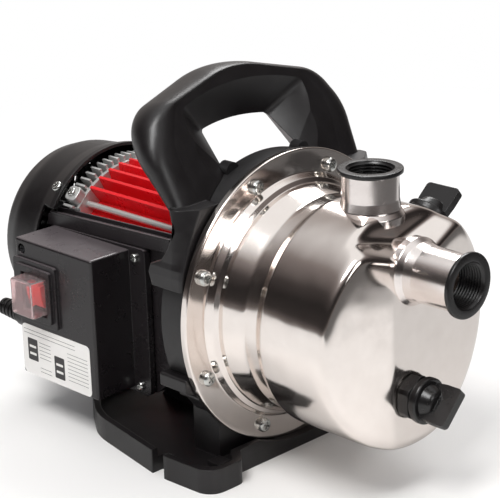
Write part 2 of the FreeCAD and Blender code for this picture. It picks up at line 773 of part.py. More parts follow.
def make_rotor():
    """The rotating line: shaft, laminated core, fan, slinger, seal head, impeller and nut."""
    seat = shaft_bearing_radius
    rear_seat = rear_bearing_x - bearing_width / 2
    shaft = turned([(-236, 0), (-236, shaft_radius, 1), (rear_seat - 1, shaft_radius),
                    (rear_seat - 1, seat), (rear_bearing_x + bearing_width / 2, seat),
                    (rear_bearing_x + bearing_width / 2, 10), (front_bearing_x - bearing_width / 2,
                    10), (front_bearing_x - bearing_width / 2, seat),
                    (front_bearing_x + bearing_width / 2 + 2, seat),
                    (front_bearing_x + bearing_width / 2 + 2, shaft_radius),
                    (impeller_front, shaft_radius), (impeller_front, 4),
                    (impeller_front + 9, 4, 0.8), (impeller_front + 9, 0)])
    save("rotor_shaft", shaft)
    core = ring(rotor_radius, 10, stack_rear, stack_front)
    end_rings = [ring(rotor_radius - 2, 20, stack_front, stack_front + 6),
                 ring(rotor_radius - 2, 20, stack_rear - 6, stack_rear)]
    save("rotor_core", joined([core] + end_rings))
    hub = ring(12, shaft_radius, -234, -210)
    disc = ring(fan_radius - 2, 11, -213, -211)
    blade = block(-232, -211, 11, fan_radius, -1, 1)
    fan = joined([hub, disc] + around_shaft(blade, fan_blade_count))
    save("cooling_fan", fan)
    slinger = turned([(-30, shaft_radius), (-30, 10, 0.5), (-27, 10), (-26, 19, 0.5),
                      (-24, 19, 0.5), (-22, 10), (-20, 10, 0.5), (-20, shaft_radius)])
    save("water_slinger", slinger)


def make_bearings():
    for name, x in (("front", front_bearing_x), ("rear", rear_bearing_x)):
        low = x - bearing_width / 2
        high = x + bearing_width / 2
        save(name + "_bearing_outer", ring(bearing_radius, bearing_radius - 3, low, high))
        inner = ring(shaft_bearing_radius + 3, shaft_bearing_radius, low, high)
        shield = ring(bearing_radius - 3.1, shaft_bearing_radius + 2, low + 1, low + 1.6)
        other = ring(bearing_radius - 3.1, shaft_bearing_radius + 2, high - 1.6, high - 1)
        save(name + "_bearing_inner", joined([inner, shield, other]))


def make_stator():
    """Laminated stack with open slots, and the two end turns of the winding."""
    stack = ring(stator_radius - 0.05, stator_bore_radius, stack_rear, stack_front)
    slot = block(stack_rear - 1, stack_front + 1, stator_bore_radius - 1, 44, -2.2, 2.2)
    for cutter in around_shaft(slot, 24):
        stack = stack.cut(cutter)
    save("stator_core", stack)
    end_turn = [(0, 38.5, 2), (0, 48, 3), (14, 47, 4), (14, 39.5, 3)]
    front = turned([(stack_front + u, v, r) for u, v, r in end_turn])
    rear = turned([(stack_rear - u, v, r) for u, v, r in end_turn])
    save("stator_windings", Part.makeCompound([front, rear]))


def curved_vane(inner, outer, sweep_degrees, thickness, x_low, x_high):
    """A backward-curved vane between two radii, drawn as a band between two arcs."""
    def along(fraction, shift):
        radius = inner + (outer - inner) * fraction
        angle = math.radians(sweep_degrees * fraction) + shift / radius
        return at(x_low, radius * math.cos(angle), radius * math.sin(angle))
    first = Part.Arc(along(0, 0), along(0.5, 0), along(1, 0)).toShape()
    last = Part.Arc(along(1, thickness), along(0.5, thickness), along(0, thickness)).toShape()
    tip = Part.makeLine(along(1, 0), along(1, thickness))
    root = Part.makeLine(along(0, thickness), along(0, 0))
    face = Part.Face(Part.Wire([first, tip, last, root]))
    return face.extrude(Vector(x_high - x_low, 0, 0))


def make_impeller():
    rear = impeller_rear
    back_disc = turned([(rear, shaft_radius), (rear, impeller_radius), (rear + 2.5,
                        impeller_radius), (rear + 2.5, 26), (impeller_front - 1, 12, 3),
                        (impeller_front, 12), (impeller_front, shaft_radius)])
    shroud = turned([(rear + 9, impeller_radius), (rear + 11, impeller_radius), (rear + 13, 21, 3),
                     (impeller_front + 6, 19), (impeller_front + 6, 17), (rear + 11, 19, 3)])
    vanes = around_shaft(curved_vane(20, impeller_radius - 0.5, -75, 2.0, rear + 2,
                                     rear + 9.6), impeller_vane_count)
    save("impeller", joined([back_disc, shroud] + vanes))
    nut = plate_x([(6.5 * math.cos(math.radians(60 * k)), 6.5 * math.sin(math.radians(60 * k)))
                   for k in range(6)], impeller_front, impeller_front + 5)
    nut = nut.cut(rod(4, at(impeller_front - 1, 0, 0), Vector(1, 0, 0), 10))
    save("impeller_nut", nut)


def make_seal():
    """The shaft seal: a fixed ring in the plate, and a sprung head that turns on the shaft."""
    seat = ring(seal_pocket_radius, 8.0, -3.9, 1.0)
    save("seal_seat", seat)
    face = ring(11.5, shaft_radius, 1.05, 4)
    shell = ring(12.5, shaft_radius, 10.5, impeller_rear)
    coils = []
    for index in range(3):
        coils.append(ring(11.0, 9.0, 4 + 2.2 * index, 5.2 + 2.2 * index))
    sleeve = ring(9.2, shaft_radius, 3.5, 11)
    save("seal_head", joined([face, shell, sleeve] + coils))


def make_diffuser():
    """The guide wheel round the impeller, open to the casing through its front windows."""
    low = gasket_back
    wall = ring(diffuser_radius, diffuser_radius - 2.5, low, diffuser_front)
    front = ring(diffuser_radius, 20.4, diffuser_front - 3.5, diffuser_front)
    vanes = around_shaft(curved_vane(impeller_radius + 2, diffuser_radius - 1, 50, 2.2,
                                     impeller_rear, diffuser_front - 3), diffuser_vane_count)
    floor = ring(diffuser_radius - 2, 20, impeller_rear - 5, impeller_rear - 2.5)
    body = joined([wall, front, floor] + vanes)
    window = Part.makeCylinder(5, 10, at(diffuser_front - 8, 64.5, 0), Vector(1, 0, 0))
    for cutter in around_shaft(window, diffuser_vane_count * 2, 18):
        body = body.cut(cutter)
    save("diffuser", body)


def make_ejector():
    """Venturi tube, suction chamber and nozzle: the jet that lets the pump prime itself."""
    start = diffuser_front
    tube = turned([(start, 20), (start, 30), (start + 3, 30, 0.8), (start + 5, venturi_radius, 4),
                   (84, venturi_radius - 2), (84, venturi_bore + 3), (70, venturi_bore),
                   (60, venturi_bore), (start + 3, 13)])
    low = -17
    outer = plate_x([(-17, low, 10), (-17, 52, 9), (17, 52, 9), (17, low, 10)], 82, 97)
    inner = plate_x([(-14.5, low + 2.5, 8), (-14.5, 49.5, 7), (14.5, 49.5, 7),
                     (14.5, low + 2.5, 8)], 84.5, 94.5)
    neck_end = suction_face - port_ring_thickness - suction_neck_length
    throat = rod(13.5, at(94, 0, suction_z), Vector(1, 0, 0), 6)
    spigot = rod(neck_radius - neck_wall - 0.05, at(neck_end + 0.1, 0, suction_z),
                 Vector(1, 0, 0), 6)
    chamber = joined([outer, throat, spigot]).cut(inner)
    chamber = chamber.cut(rod(12, at(93, 0, suction_z), Vector(1, 0, 0), 20))
    chamber = chamber.cut(rod(venturi_bore + 3, at(80, 0, 0), Vector(1, 0, 0), 6))
    chamber = chamber.cut(rod(9, at(90, 0, 0), Vector(1, 0, 0), 20))
    save("ejector_body", tube.fuse(chamber).removeSplitter())
    nozzle = turned([(86, 3.2), (86, 4.6), (94, 8.9), (97, 8.9), (97, 12), (100, 12, 0.5),
                     (100, 7), (96, 7)])
    save("jet_nozzle", nozzle)


def make_box_tray():
    """The box's floor: a plate saddled on the motor, a rain ledge and a lower pad."""
    rear = box_rear - 6
    low_top = tray_top - tray_fall
    plan = [(rear, box_bottom - 2, 4), (-92, box_bottom - 2, 6), (tray_front_x, -60, 12),
            (tray_front_x, tray_top, 2), (rear, low_top, 2)]
    plate = plate_y(plan, tray_face, tray_back)
    ledge = plate_y([(rear, low_top - 9), (tray_front_x, tray_top - 9), (tray_front_x, tray_top, 2),
                     (rear, low_top, 2)], box_parting + 1, tray_face)
    pad = plate_y([(motor_rear + 1, box_bottom - 2, 4), (-92, box_bottom - 2, 6),
                   (tray_front_x, -60, 12), (tray_front_x, -48), (motor_rear + 1, -48)],
                  tray_face, pad_inner)
    pad = pad.cut(rod(fin_radius + 0.3, at(-300, 0, 0), Vector(1, 0, 0), 300))
    tray = joined([plate, ledge, pad])
    tray = tray.cut(rod(motor_wall_radius + 0.3, at(-300, 0, 0), Vector(1, 0, 0), 300))
    tray = tray.cut(rod(7, at(-130, tray_face - 1, 18), Vector(0, 1, 0), 30))
    for seat, length in box_screw_seats():
        tray = tray.cut(rod(screw_small + 0.05, seat, Vector(0, 1, 0), length + 0.5))
    save("box_tray", tray.removeSplitter())


def make_box_cover():
    """The box's cover with two ears in front, screw pillars behind and the switch collar."""
    wall = box_wall
    cover = block(box_rear, box_front, box_outer, cover_back, box_bottom, box_top)
    edges = [edge for edge in cover.Edges if edge.BoundBox.YMax < box_outer + 1
             or edge.BoundBox.YLength > 30]
    cover = cover.makeFillet(2.2, edges)
    cover = cover.fuse(plate_y(box_plan(box_rear, box_front + box_ear), box_parting, cover_back))
    hollow = block(box_rear + wall, box_front - wall, box_outer + wall, cover_back + 1,
                   box_bottom + wall, box_top - wall)
    cover = cover.cut(hollow)
    half = collar_half
    for reach, height in ((half, 2.5), (half - 4, collar_height)):
        collar = plate_y([(collar_x - reach, switch_z - reach, 3),
                          (collar_x - reach, switch_z + reach, 3),
                          (collar_x + reach, switch_z + reach, 3),
                          (collar_x + reach, switch_z - reach, 3)],
                         box_outer - height, box_outer + 1)
        cover = cover.fuse(collar)
    for seat, length in box_screw_seats()[2:]:
        pillar = rod(5.2, at(seat.x, box_outer + 1, seat.z - axis_height), Vector(0, 1, 0),
                     cover_back - box_outer - 1)
        cover = cover.fuse(pillar)
        recess = rod(4.2, seat - Vector(0, 5, 0), Vector(0, 1, 0), 5)
        cover = cover.cut(recess)
    half_x = switch_half_x + 3
    half_z = switch_half_z + 3
    window = block(switch_x - half_x, switch_x + half_x, box_outer - 20, box_outer + 4,
                   switch_z - half_z, switch_z + half_z)
    cover = cover.cut(window)
    gasket = plate_y(box_plan(box_rear + 1, box_front + box_ear - 2), cover_back, tray_face)
    gasket = gasket.cut(block(box_rear + 4, box_front - 4, cover_back - 3, tray_face + 3,
                              box_bottom + 4, box_top - 4))
    for seat, length in box_screw_seats():
        hole = rod(screw_small + 0.3, seat, Vector(0, 1, 0), length + 2)
        cover = cover.cut(hole)
        gasket = gasket.cut(hole)
    cover = cover.cut(rod(gland_thread_radius, at(box_rear - 5, gland_y, gland_z),
                          Vector(1, 0, 0), 12))
    save("box_cover", cover.removeSplitter())
    save("box_gasket", gasket)
    save("box_screws", Part.makeCompound([pan_screw(seat, Vector(0, -1, 0), length, screw_small,
                                                    3.8, 2.6)
                                          for seat, length in box_screw_seats()]))


def box_plan(low, high):
    return [(low, box_bottom, 2), (low, box_top, 2), (high, box_top + 3, 3),
            (high, box_bottom - 4, 6)]


def box_screw_seats():
    """Seats and lengths: two on the front ears, then two long ones sunk in the rear corners."""
    ends = tray_back - 0.5
    recessed = box_outer + 3.2
    front_x = box_front + 7
    rear_x = box_rear + 8
    return [(at(front_x, box_parting, box_bottom + 3), ends - box_parting),
            (at(front_x, box_parting, box_top - 5), ends - box_parting),
            (at(rear_x, recessed, box_bottom + 8), ends - recessed),
            (at(rear_x, recessed, box_top - 8), ends - recessed)]


def make_switch():
    """Rocker switch: body behind the cover, rocker on a cross pivot, and its splash cap."""
    front = box_outer - 1.5
    body = block(switch_x - switch_half_x, switch_x + switch_half_x, front, box_outer + 22,
                 switch_z - switch_half_z, switch_z + switch_half_z)
    flange = block(switch_x - switch_half_x - 3, switch_x + switch_half_x + 3, front,
                   box_outer + 4, switch_z - switch_half_z - 3, switch_z + switch_half_z + 3)
    gap = 0.6
    well = block(switch_x - rocker_half_x - gap, switch_x + rocker_half_x + gap, front - 1,
                 box_outer + 12, switch_z - rocker_half_z - gap - 1.5,
                 switch_z + rocker_half_z + gap + 1.5)
    body = body.fuse(flange).cut(well)
    pin_end = rocker_half_x + 3
    pin = rod(1.5, at(switch_x - pin_end, rocker_pivot_y, switch_z), Vector(1, 0, 0), 2 * pin_end)
    body = body.cut(rod(1.55, at(switch_x - switch_half_x, rocker_pivot_y, switch_z),
                        Vector(1, 0, 0), 2 * switch_half_x))
    for z in (-7, 0, 7):
        body = body.fuse(block(switch_x - 3, switch_x + 3, box_outer + 22, box_outer + 30,
                               switch_z + z - 0.4, switch_z + z + 0.4))
    save("switch_body", body.removeSplitter())
    profile = [(box_outer + 2, -rocker_half_z + 1, 1), (box_outer - 4, -rocker_half_z, 1),
               (box_outer - 5.5, 0, 30), (box_outer - 4, rocker_half_z, 1),
               (box_outer + 2, rocker_half_z - 1, 1), (box_outer + 8, 0, 3)]
    wire = rounded_wire(profile, lambda p: at(switch_x - rocker_half_x, p.x, switch_z + p.y))
    rocker = Part.Face(wire).extrude(Vector(2 * rocker_half_x, 0, 0))
    rocker = rocker.fuse(pin).removeSplitter()
    rocker.rotate(at(switch_x, rocker_pivot_y, switch_z), Vector(1, 0, 0), rocker_tilt)
    save("switch_rocker", rocker)
    cap_x = switch_half_x + 1.5
    cap_z = switch_half_z + 1.5
    deep = front - cap_depth
    cap = block(switch_x - cap_x, switch_x + cap_x, deep, front, switch_z - cap_z,
                switch_z + cap_z)
    edges = [edge for edge in cap.Edges if edge.BoundBox.YMax < front - 1
             or edge.BoundBox.YLength > 5]
    cap = cap.makeFillet(2.5, edges)
    hollow = block(switch_x - cap_x + 1, switch_x + cap_x - 1, deep + 1, front + 1,
                   switch_z - cap_z + 1, switch_z + cap_z - 1)
    save("splash_cap", cap.cut(hollow))


def make_box_inside():
    """The running capacitor, its clip, and the terminal block."""
    centre_y = tray_face - 17
    can = turned_on([(0, 0), (0, 14, 1), (52, 14, 1.5), (52, 0)], at(-131, centre_y, -77),
                    Vector(0, 0, 1))
    tabs = [block(-137, -136.2, centre_y - 3, centre_y + 3, -26, -18),
            block(-126, -125.2, centre_y - 3, centre_y + 3, -26, -18)]
    save("run_capacitor", joined([can] + tabs))
    clip = ring_z(16, 14.05, -131, centre_y, -58, -48)
    foot = block(-145, -117, tray_face - 2.5, tray_face, -58, -48)
    foot = foot.cut(rod(14.05, at(-131, centre_y, -60), Vector(0, 0, 1), 20))
    save("capacitor_clip", joined([clip, foot]))
    base = block(-188, -150, tray_face - 16, tray_face, -74, -58)
    for x in (-181, -169, -157):
        base = base.cut(rod(2.5, at(x, tray_face - 17, -66), Vector(0, 1, 0), 9))
    save("terminal_block", base)


def hexagon_on(y, z, reach, corner=0.0):
    """The (y, z) corners of a hexagon about a line along the shaft."""
    angles = [math.radians(60 * k) for k in range(6)]
    return [(y + reach * math.cos(a), z + reach * math.sin(a), corner) for a in angles]


def ring_z(outer, inner, x, y, z_low, z_high):
    up = Vector(0, 0, 1)
    length = z_high - z_low
    return rod(outer, at(x, y, z_low), up, length).cut(rod(inner, at(x, y, z_low), up, length))


def make_gland():
    """Cable gland: a hexagon body through the box wall, a nut and a ribbed tail."""
    centre = at(box_rear, gland_y, gland_z)
    back = Vector(-1, 0, 0)
    body = plate_x(hexagon_on(gland_y, gland_z, 11, 0.8), box_rear - 7, box_rear)
    thread = rod(gland_thread_radius - 0.05, centre - back * 6, back, 20)
    bore = rod(gland_bore, centre - back * 10, back, 60)
    save("gland_body", body.fuse(thread).cut(bore).removeSplitter())
    lock = plate_x(hexagon_on(gland_y, gland_z, 10), box_rear + box_wall, box_rear + box_wall + 3.5)
    save("gland_lock_nut", lock.cut(rod(gland_thread_radius, centre - back * 9, back, 12)))
    outline = [(7, gland_thread_radius), (7, 9.5, 1), (20, 9.5, 1)]
    reach = 20.0
    for index in range(5):
        neck = 6.6 - 0.25 * index
        rib = 8.2 - 0.35 * index
        outline += [(reach + 0.5, neck), (reach + 2.0, neck), (reach + 2.4, rib), (reach + 5, rib)]
        reach += 5.0
    outline += [(reach, gland_bore), (14.5, gland_bore), (14.5, gland_thread_radius)]
    save("gland_nut", turned_on(outline, centre, back))


make_casing()
make_neck("discharge_neck", *discharge_seat(), discharge_neck_length, discharge_collar_depth)
make_thread_insert("discharge_thread_insert", *discharge_seat())
make_neck("suction_neck", *suction_seat(), suction_neck_length, suction_collar_depth)
make_thread_insert("suction_thread_insert", *suction_seat())
make_plug("filler", *filler_seat(), Vector(1, 0, 0), filler_boss_radius, 0)
make_plug("drain", *drain_seat(), Vector(0, 1, 1).normalize(), drain_boss_radius, 6)
make_casing_screws()
make_gasket_and_plate()
make_bracket()
make_handle()
make_bracket_screws()
make_stand()
make_motor_housing()
make_end_shield()
make_tie_rods()
make_fan_cover()
make_cowl_fixings()
make_rotor()
make_bearings()
make_stator()
make_impeller()
make_seal()
make_diffuser()
make_ejector()
make_box_tray()
make_box_cover()
make_switch()
make_box_inside()
make_gland()
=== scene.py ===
"""Looks of the steel garden jet pump: a polished pressing on a black stand with a red motor."""
import math

import bpy
from mathutils import Matrix, Vector


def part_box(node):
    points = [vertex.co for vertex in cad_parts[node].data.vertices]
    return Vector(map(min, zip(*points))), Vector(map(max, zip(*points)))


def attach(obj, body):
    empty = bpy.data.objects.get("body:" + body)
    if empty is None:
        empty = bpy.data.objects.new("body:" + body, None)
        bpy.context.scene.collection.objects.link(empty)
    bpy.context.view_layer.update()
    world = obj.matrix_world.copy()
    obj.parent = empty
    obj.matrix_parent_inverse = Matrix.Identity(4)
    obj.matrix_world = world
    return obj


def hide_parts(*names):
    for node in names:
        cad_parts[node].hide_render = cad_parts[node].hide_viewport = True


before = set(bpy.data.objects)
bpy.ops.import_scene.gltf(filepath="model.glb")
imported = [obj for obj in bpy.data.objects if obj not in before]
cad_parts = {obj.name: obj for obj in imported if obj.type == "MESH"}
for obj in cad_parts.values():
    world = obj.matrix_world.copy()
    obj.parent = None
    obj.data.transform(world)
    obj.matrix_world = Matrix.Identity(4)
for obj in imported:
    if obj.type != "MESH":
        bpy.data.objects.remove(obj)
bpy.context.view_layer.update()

bl_info = {
    "name": "Garden Jet Pump",
    "version": (1, 0, 0),
    "blender": (4, 5, 0),
    "location": "View3D > Sidebar > Pump",
    "description": "Models and dresses a self-priming garden pump around its fixed frame",
    "category": "Object",
}

MM = 0.001
ALONG = 0.9  # an edge whose direction has this much of an axis counts as running along it
SHAFT = (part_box("rotor_shaft")[0].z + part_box("rotor_shaft")[1].z) / 2
FORWARD = Vector((1, 0, 0))
UP = Vector((0, 0, 1))


def at(x, y, z):
    """A point in metres from millimetres that are measured from the shaft axis."""
    return Vector((x * MM, y * MM, z * MM + SHAFT))


# Each port's outer face on the port's own axis, and the way that axis points.
DISCHARGE = (at(74, 0, 110.6), UP)
SUCTION = (at(161, 0, 44.9), FORWARD)


# ---------------------------------------------------------------- modelling helpers

def pick(*pieces):
    """Leaves only these pieces selected, the first of them active."""
    for other in list(bpy.context.selected_objects):
        other.select_set(False)
    for piece in pieces:
        piece.select_set(True)
    bpy.context.view_layer.objects.active = pieces[0]


def enter(piece):
    """Opens the piece's mesh with every vertex selected."""
    pick(piece)
    bpy.ops.object.mode_set(mode="EDIT")
    bpy.context.tool_settings.mesh_select_mode = (True, False, False)
    bpy.ops.mesh.select_all(action="SELECT")


def leave():
    bpy.ops.object.mode_set(mode="OBJECT")


def named(name):
    """The primitive just added, with its name."""
    piece = bpy.context.object
    piece.name = name
    piece.data.name = name
    return piece


def settle(piece, angle=35):
    """Puts the piece's place into its mesh and smooths all but its true edges."""
    pick(piece)
    bpy.ops.object.transform_apply(location=True, rotation=True, scale=True)
    bpy.ops.object.shade_smooth_by_angle(angle=math.radians(angle))
    return piece


def modify(piece, kind, **settings):
    """Adds a modifier, sets it and applies it."""
    pick(piece)
    modifier = piece.modifiers.new(kind, kind)
    for key, value in settings.items():
        setattr(modifier, key, value)
    bpy.ops.object.modifier_apply(modifier=modifier.name)


def joined(name, pieces):
    pick(*pieces)
    bpy.ops.object.join()
    return named(name)


def block(name, middle, size, turn=0.0):
    """A cube of size millimetres round a middle in metres, turned about X."""
    bpy.ops.mesh.primitive_cube_add(size=1, location=middle)
    piece = named(name)
    piece.dimensions = [length * MM for length in size]
    piece.rotation_euler.x = turn
    return settle(piece)


def duplicate(piece, name):
    """A copy with a mesh of its own."""
    other = piece.copy()
    other.data = piece.data.copy()
    other.name = name
    bpy.context.collection.objects.link(other)
    return other


def with_arcs(corners, steps=5):
    """The outline's points, each corner that names a radius turned into an arc."""
    line = []
    for index, corner in enumerate(corners):
        here = Vector(corner[:2])
        if len(corner) < 3 or index in (0, len(corners) - 1):
            line.append(here)
            continue
        back = (Vector(corners[index - 1][:2]) - here).normalized()
        onward = (Vector(corners[index + 1][:2]) - here).normalized()
        half = back.angle(onward) / 2
        reach = corner[2] / math.tan(half)
        middle = here + (back + onward).normalized() * corner[2] / math.sin(half)
        first = here + back * reach - middle
        last = here + onward * reach - middle
        for step in range(steps + 1):
            spoke = first.slerp(last, step / steps).normalized()
            line.append(middle + spoke * corner[2])
    return line


def even(line, spacing):
    """The outline with points added so that none are further apart than spacing."""
    points = [line[0]]
    for start, end in zip(line[:-1], line[1:]):
        count = max(1, math.ceil((end - start).length / spacing))
        points += [start.lerp(end, step / count) for step in range(1, count + 1)]
    return points


def turned(name, line, seat, direction, steps=64, sideways=None):
    """Extrudes an outline of (along, radius) millimetres point by point and spins it."""
    direction = direction.normalized()
    side = sideways or direction.orthogonal().normalized()

    def place(point):
        return seat + (direction * point[0] + side * point[1]) * MM

    bpy.ops.mesh.primitive_plane_add(size=MM, location=place(line[0]))
    piece = named(name)
    enter(piece)
    bpy.ops.mesh.merge(type="CENTER")
    for before, after in zip(line[:-1], line[1:]):
        move = place(after) - place(before)
        bpy.ops.mesh.extrude_region_move(TRANSFORM_OT_translate={"value": move})
    bpy.ops.mesh.select_all(action="SELECT")
    bpy.ops.mesh.spin(steps=steps, angle=math.tau, center=seat, axis=direction)
    bpy.ops.mesh.select_all(action="SELECT")
    bpy.ops.mesh.remove_doubles(threshold=0.00002)
    bpy.ops.mesh.normals_make_consistent(inside=False)
    leave()
    return settle(piece)


def moved(piece, place):
    """Moves every vertex of a settled piece to where place puts it."""
    for vertex in piece.data.vertices:
        vertex.co = place(vertex.co)
    piece.data.update()
    return piece


def select_edges(piece, test):
    """Leaves selected only the edges whose direction passes the test, in edit mode."""
    bpy.context.tool_settings.mesh_select_mode = (False, True, False)
    bpy.ops.mesh.select_all(action="DESELECT")
    leave()
    corners = piece.data.vertices
    for edge in piece.data.edges:
        first, second = (corners[index].co for index in edge.vertices)
        edge.select = test((second - first).normalized())
    bpy.ops.object.mode_set(mode="EDIT")


def slab(name, low, high, radius, steps=5):
    """A thin plate that faces -Y, with its four corners rounded in the plane of its face."""
    centre = (Vector(low) + Vector(high)) / 2
    plate = block(name, at(*centre), Vector(high) - Vector(low))
    enter(plate)
    select_edges(plate, lambda way: abs(way.y) > ALONG)
    bpy.ops.mesh.bevel(offset=radius * MM, segments=steps)
    leave()
    return settle(plate)


# ---------------------------------------------------------------- materials

def linear(code):
    """An sRGB hex colour as linear values."""
    parts = [int(code[index:index + 2], 16) / 255 for index in (1, 3, 5)]
    return [part / 12.92 if part <= 0.04045 else ((part + 0.055) / 1.055) ** 2.4
            for part in parts] + [1.0]


def add(tree, kind, links=(), values=(), **settings):
    """Adds one node, sets it and its inputs' values, and links its inputs."""
    made = tree.nodes.new(kind)
    for key, value in settings.items():
        setattr(made, key, value)
    for key, value in dict(values).items():
        made.inputs[key].default_value = value
    for key, source in dict(links).items():
        tree.links.new(source, made.inputs[key])
    return made


def ranged(tree, source, start, end, low=0.0, high=1.0):
    """The source's value with start..end spread over low..high."""
    return add(tree, "ShaderNodeMapRange", {"Value": source},
               values={"From Min": start, "From Max": end, "To Min": low,
                       "To Max": high}).outputs[0]


def tinted(tree, share, first, second):
    """A colour mixed from two, each of which is a link or linear values."""
    mix = add(tree, "ShaderNodeMix", {"Factor": share}, data_type="RGBA")
    for key, colour in (("A", first), ("B", second)):
        if isinstance(colour, bpy.types.NodeSocket):
            tree.links.new(colour, mix.inputs[key])
        else:
            mix.inputs[key].default_value = colour
    return mix.outputs["Result"]


def maths(tree, operation, first, second):
    """The result of one sum on two links."""
    return add(tree, "ShaderNodeMath", {0: first, 1: second}, operation=operation).outputs[0]


def blended(tree, share, first, second):
    """Two shaders mixed, the second by the share."""
    return add(tree, "ShaderNodeMixShader", {0: share, 1: first, 2: second}).outputs[0]


def fresh(name):
    """A new material with only its output left."""
    material = bpy.data.materials.new(name)
    material.use_nodes = True
    tree = material.node_tree
    tree.nodes.clear()
    return material, tree, add(tree, "ShaderNodeOutputMaterial")


def surface(name, colour, worn, metallic=0.0, rough=(0.4, 0.5), cloud_mm=18, grain_mm=0.5,
            relief_mm=0.01, wave_mm=0.0, wave_relief_mm=0.0, edge_mm=0.0, painted_top_light=None,
            stretch=(1, 1, 1), **shader):
    """A finish: two close tones, roughness that wanders, a grain and, on request, slow waves,
    soft edges and a lighter tone painted on what faces up, as painted light from above."""
    material, tree, output = fresh(name)
    where = add(tree, "ShaderNodeTexCoord").outputs["Object"]
    spread = add(tree, "ShaderNodeMapping", {"Vector": where}, values={"Scale": stretch})
    cloud = add(tree, "ShaderNodeTexNoise", {"Vector": spread.outputs[0]},
                values={"Scale": 1 / (cloud_mm * MM), "Detail": 5.0, "Roughness": 0.6})
    tone = tinted(tree, cloud.outputs["Fac"], linear(colour), linear(worn))
    # Faces that point up are mixed towards a lighter grey: painted light from above, not a tone of
    # the plastic.
    if painted_top_light:
        facing = add(tree, "ShaderNodeNewGeometry").outputs["Normal"]
        upwards = add(tree, "ShaderNodeSeparateXYZ", {"Vector": facing}).outputs["Z"]
        painted_top_light_share = ranged(tree, upwards, 0.55, 0.95, high=0.9)
        tone = tinted(tree, painted_top_light_share, tone, linear(painted_top_light))
    polish = ranged(tree, cloud.outputs["Fac"], 0.3, 0.7, *rough)
    grain = add(tree, "ShaderNodeTexNoise", {"Vector": spread.outputs[0]},
                values={"Scale": 1 / (grain_mm * MM), "Detail": 2.0})
    relief = add(tree, "ShaderNodeBump", {"Height": grain.outputs["Fac"]},
                 values={"Strength": 1.0, "Distance": relief_mm * MM})
    if wave_mm:
        wave = add(tree, "ShaderNodeTexNoise", {"Vector": where},
                   values={"Scale": 1 / (wave_mm * MM), "Detail": 1.0})
        relief = add(tree, "ShaderNodeBump",
                     {"Height": wave.outputs["Fac"], "Normal": relief.outputs[0]},
                     values={"Strength": 1.0, "Distance": wave_relief_mm * MM})
    if edge_mm:
        soft = add(tree, "ShaderNodeBevel", samples=4, values={"Radius": edge_mm * MM})
        tree.links.new(soft.outputs[0], [each for each in tree.nodes
                                         if each.type == "BUMP"][0].inputs["Normal"])
    skin = add(tree, "ShaderNodeBsdfPrincipled",
               {"Base Color": tone, "Roughness": polish, "Normal": relief.outputs[0]},
               values={"Metallic": metallic, **shader})
    tree.links.new(skin.outputs[0], output.inputs["Surface"])
    return material


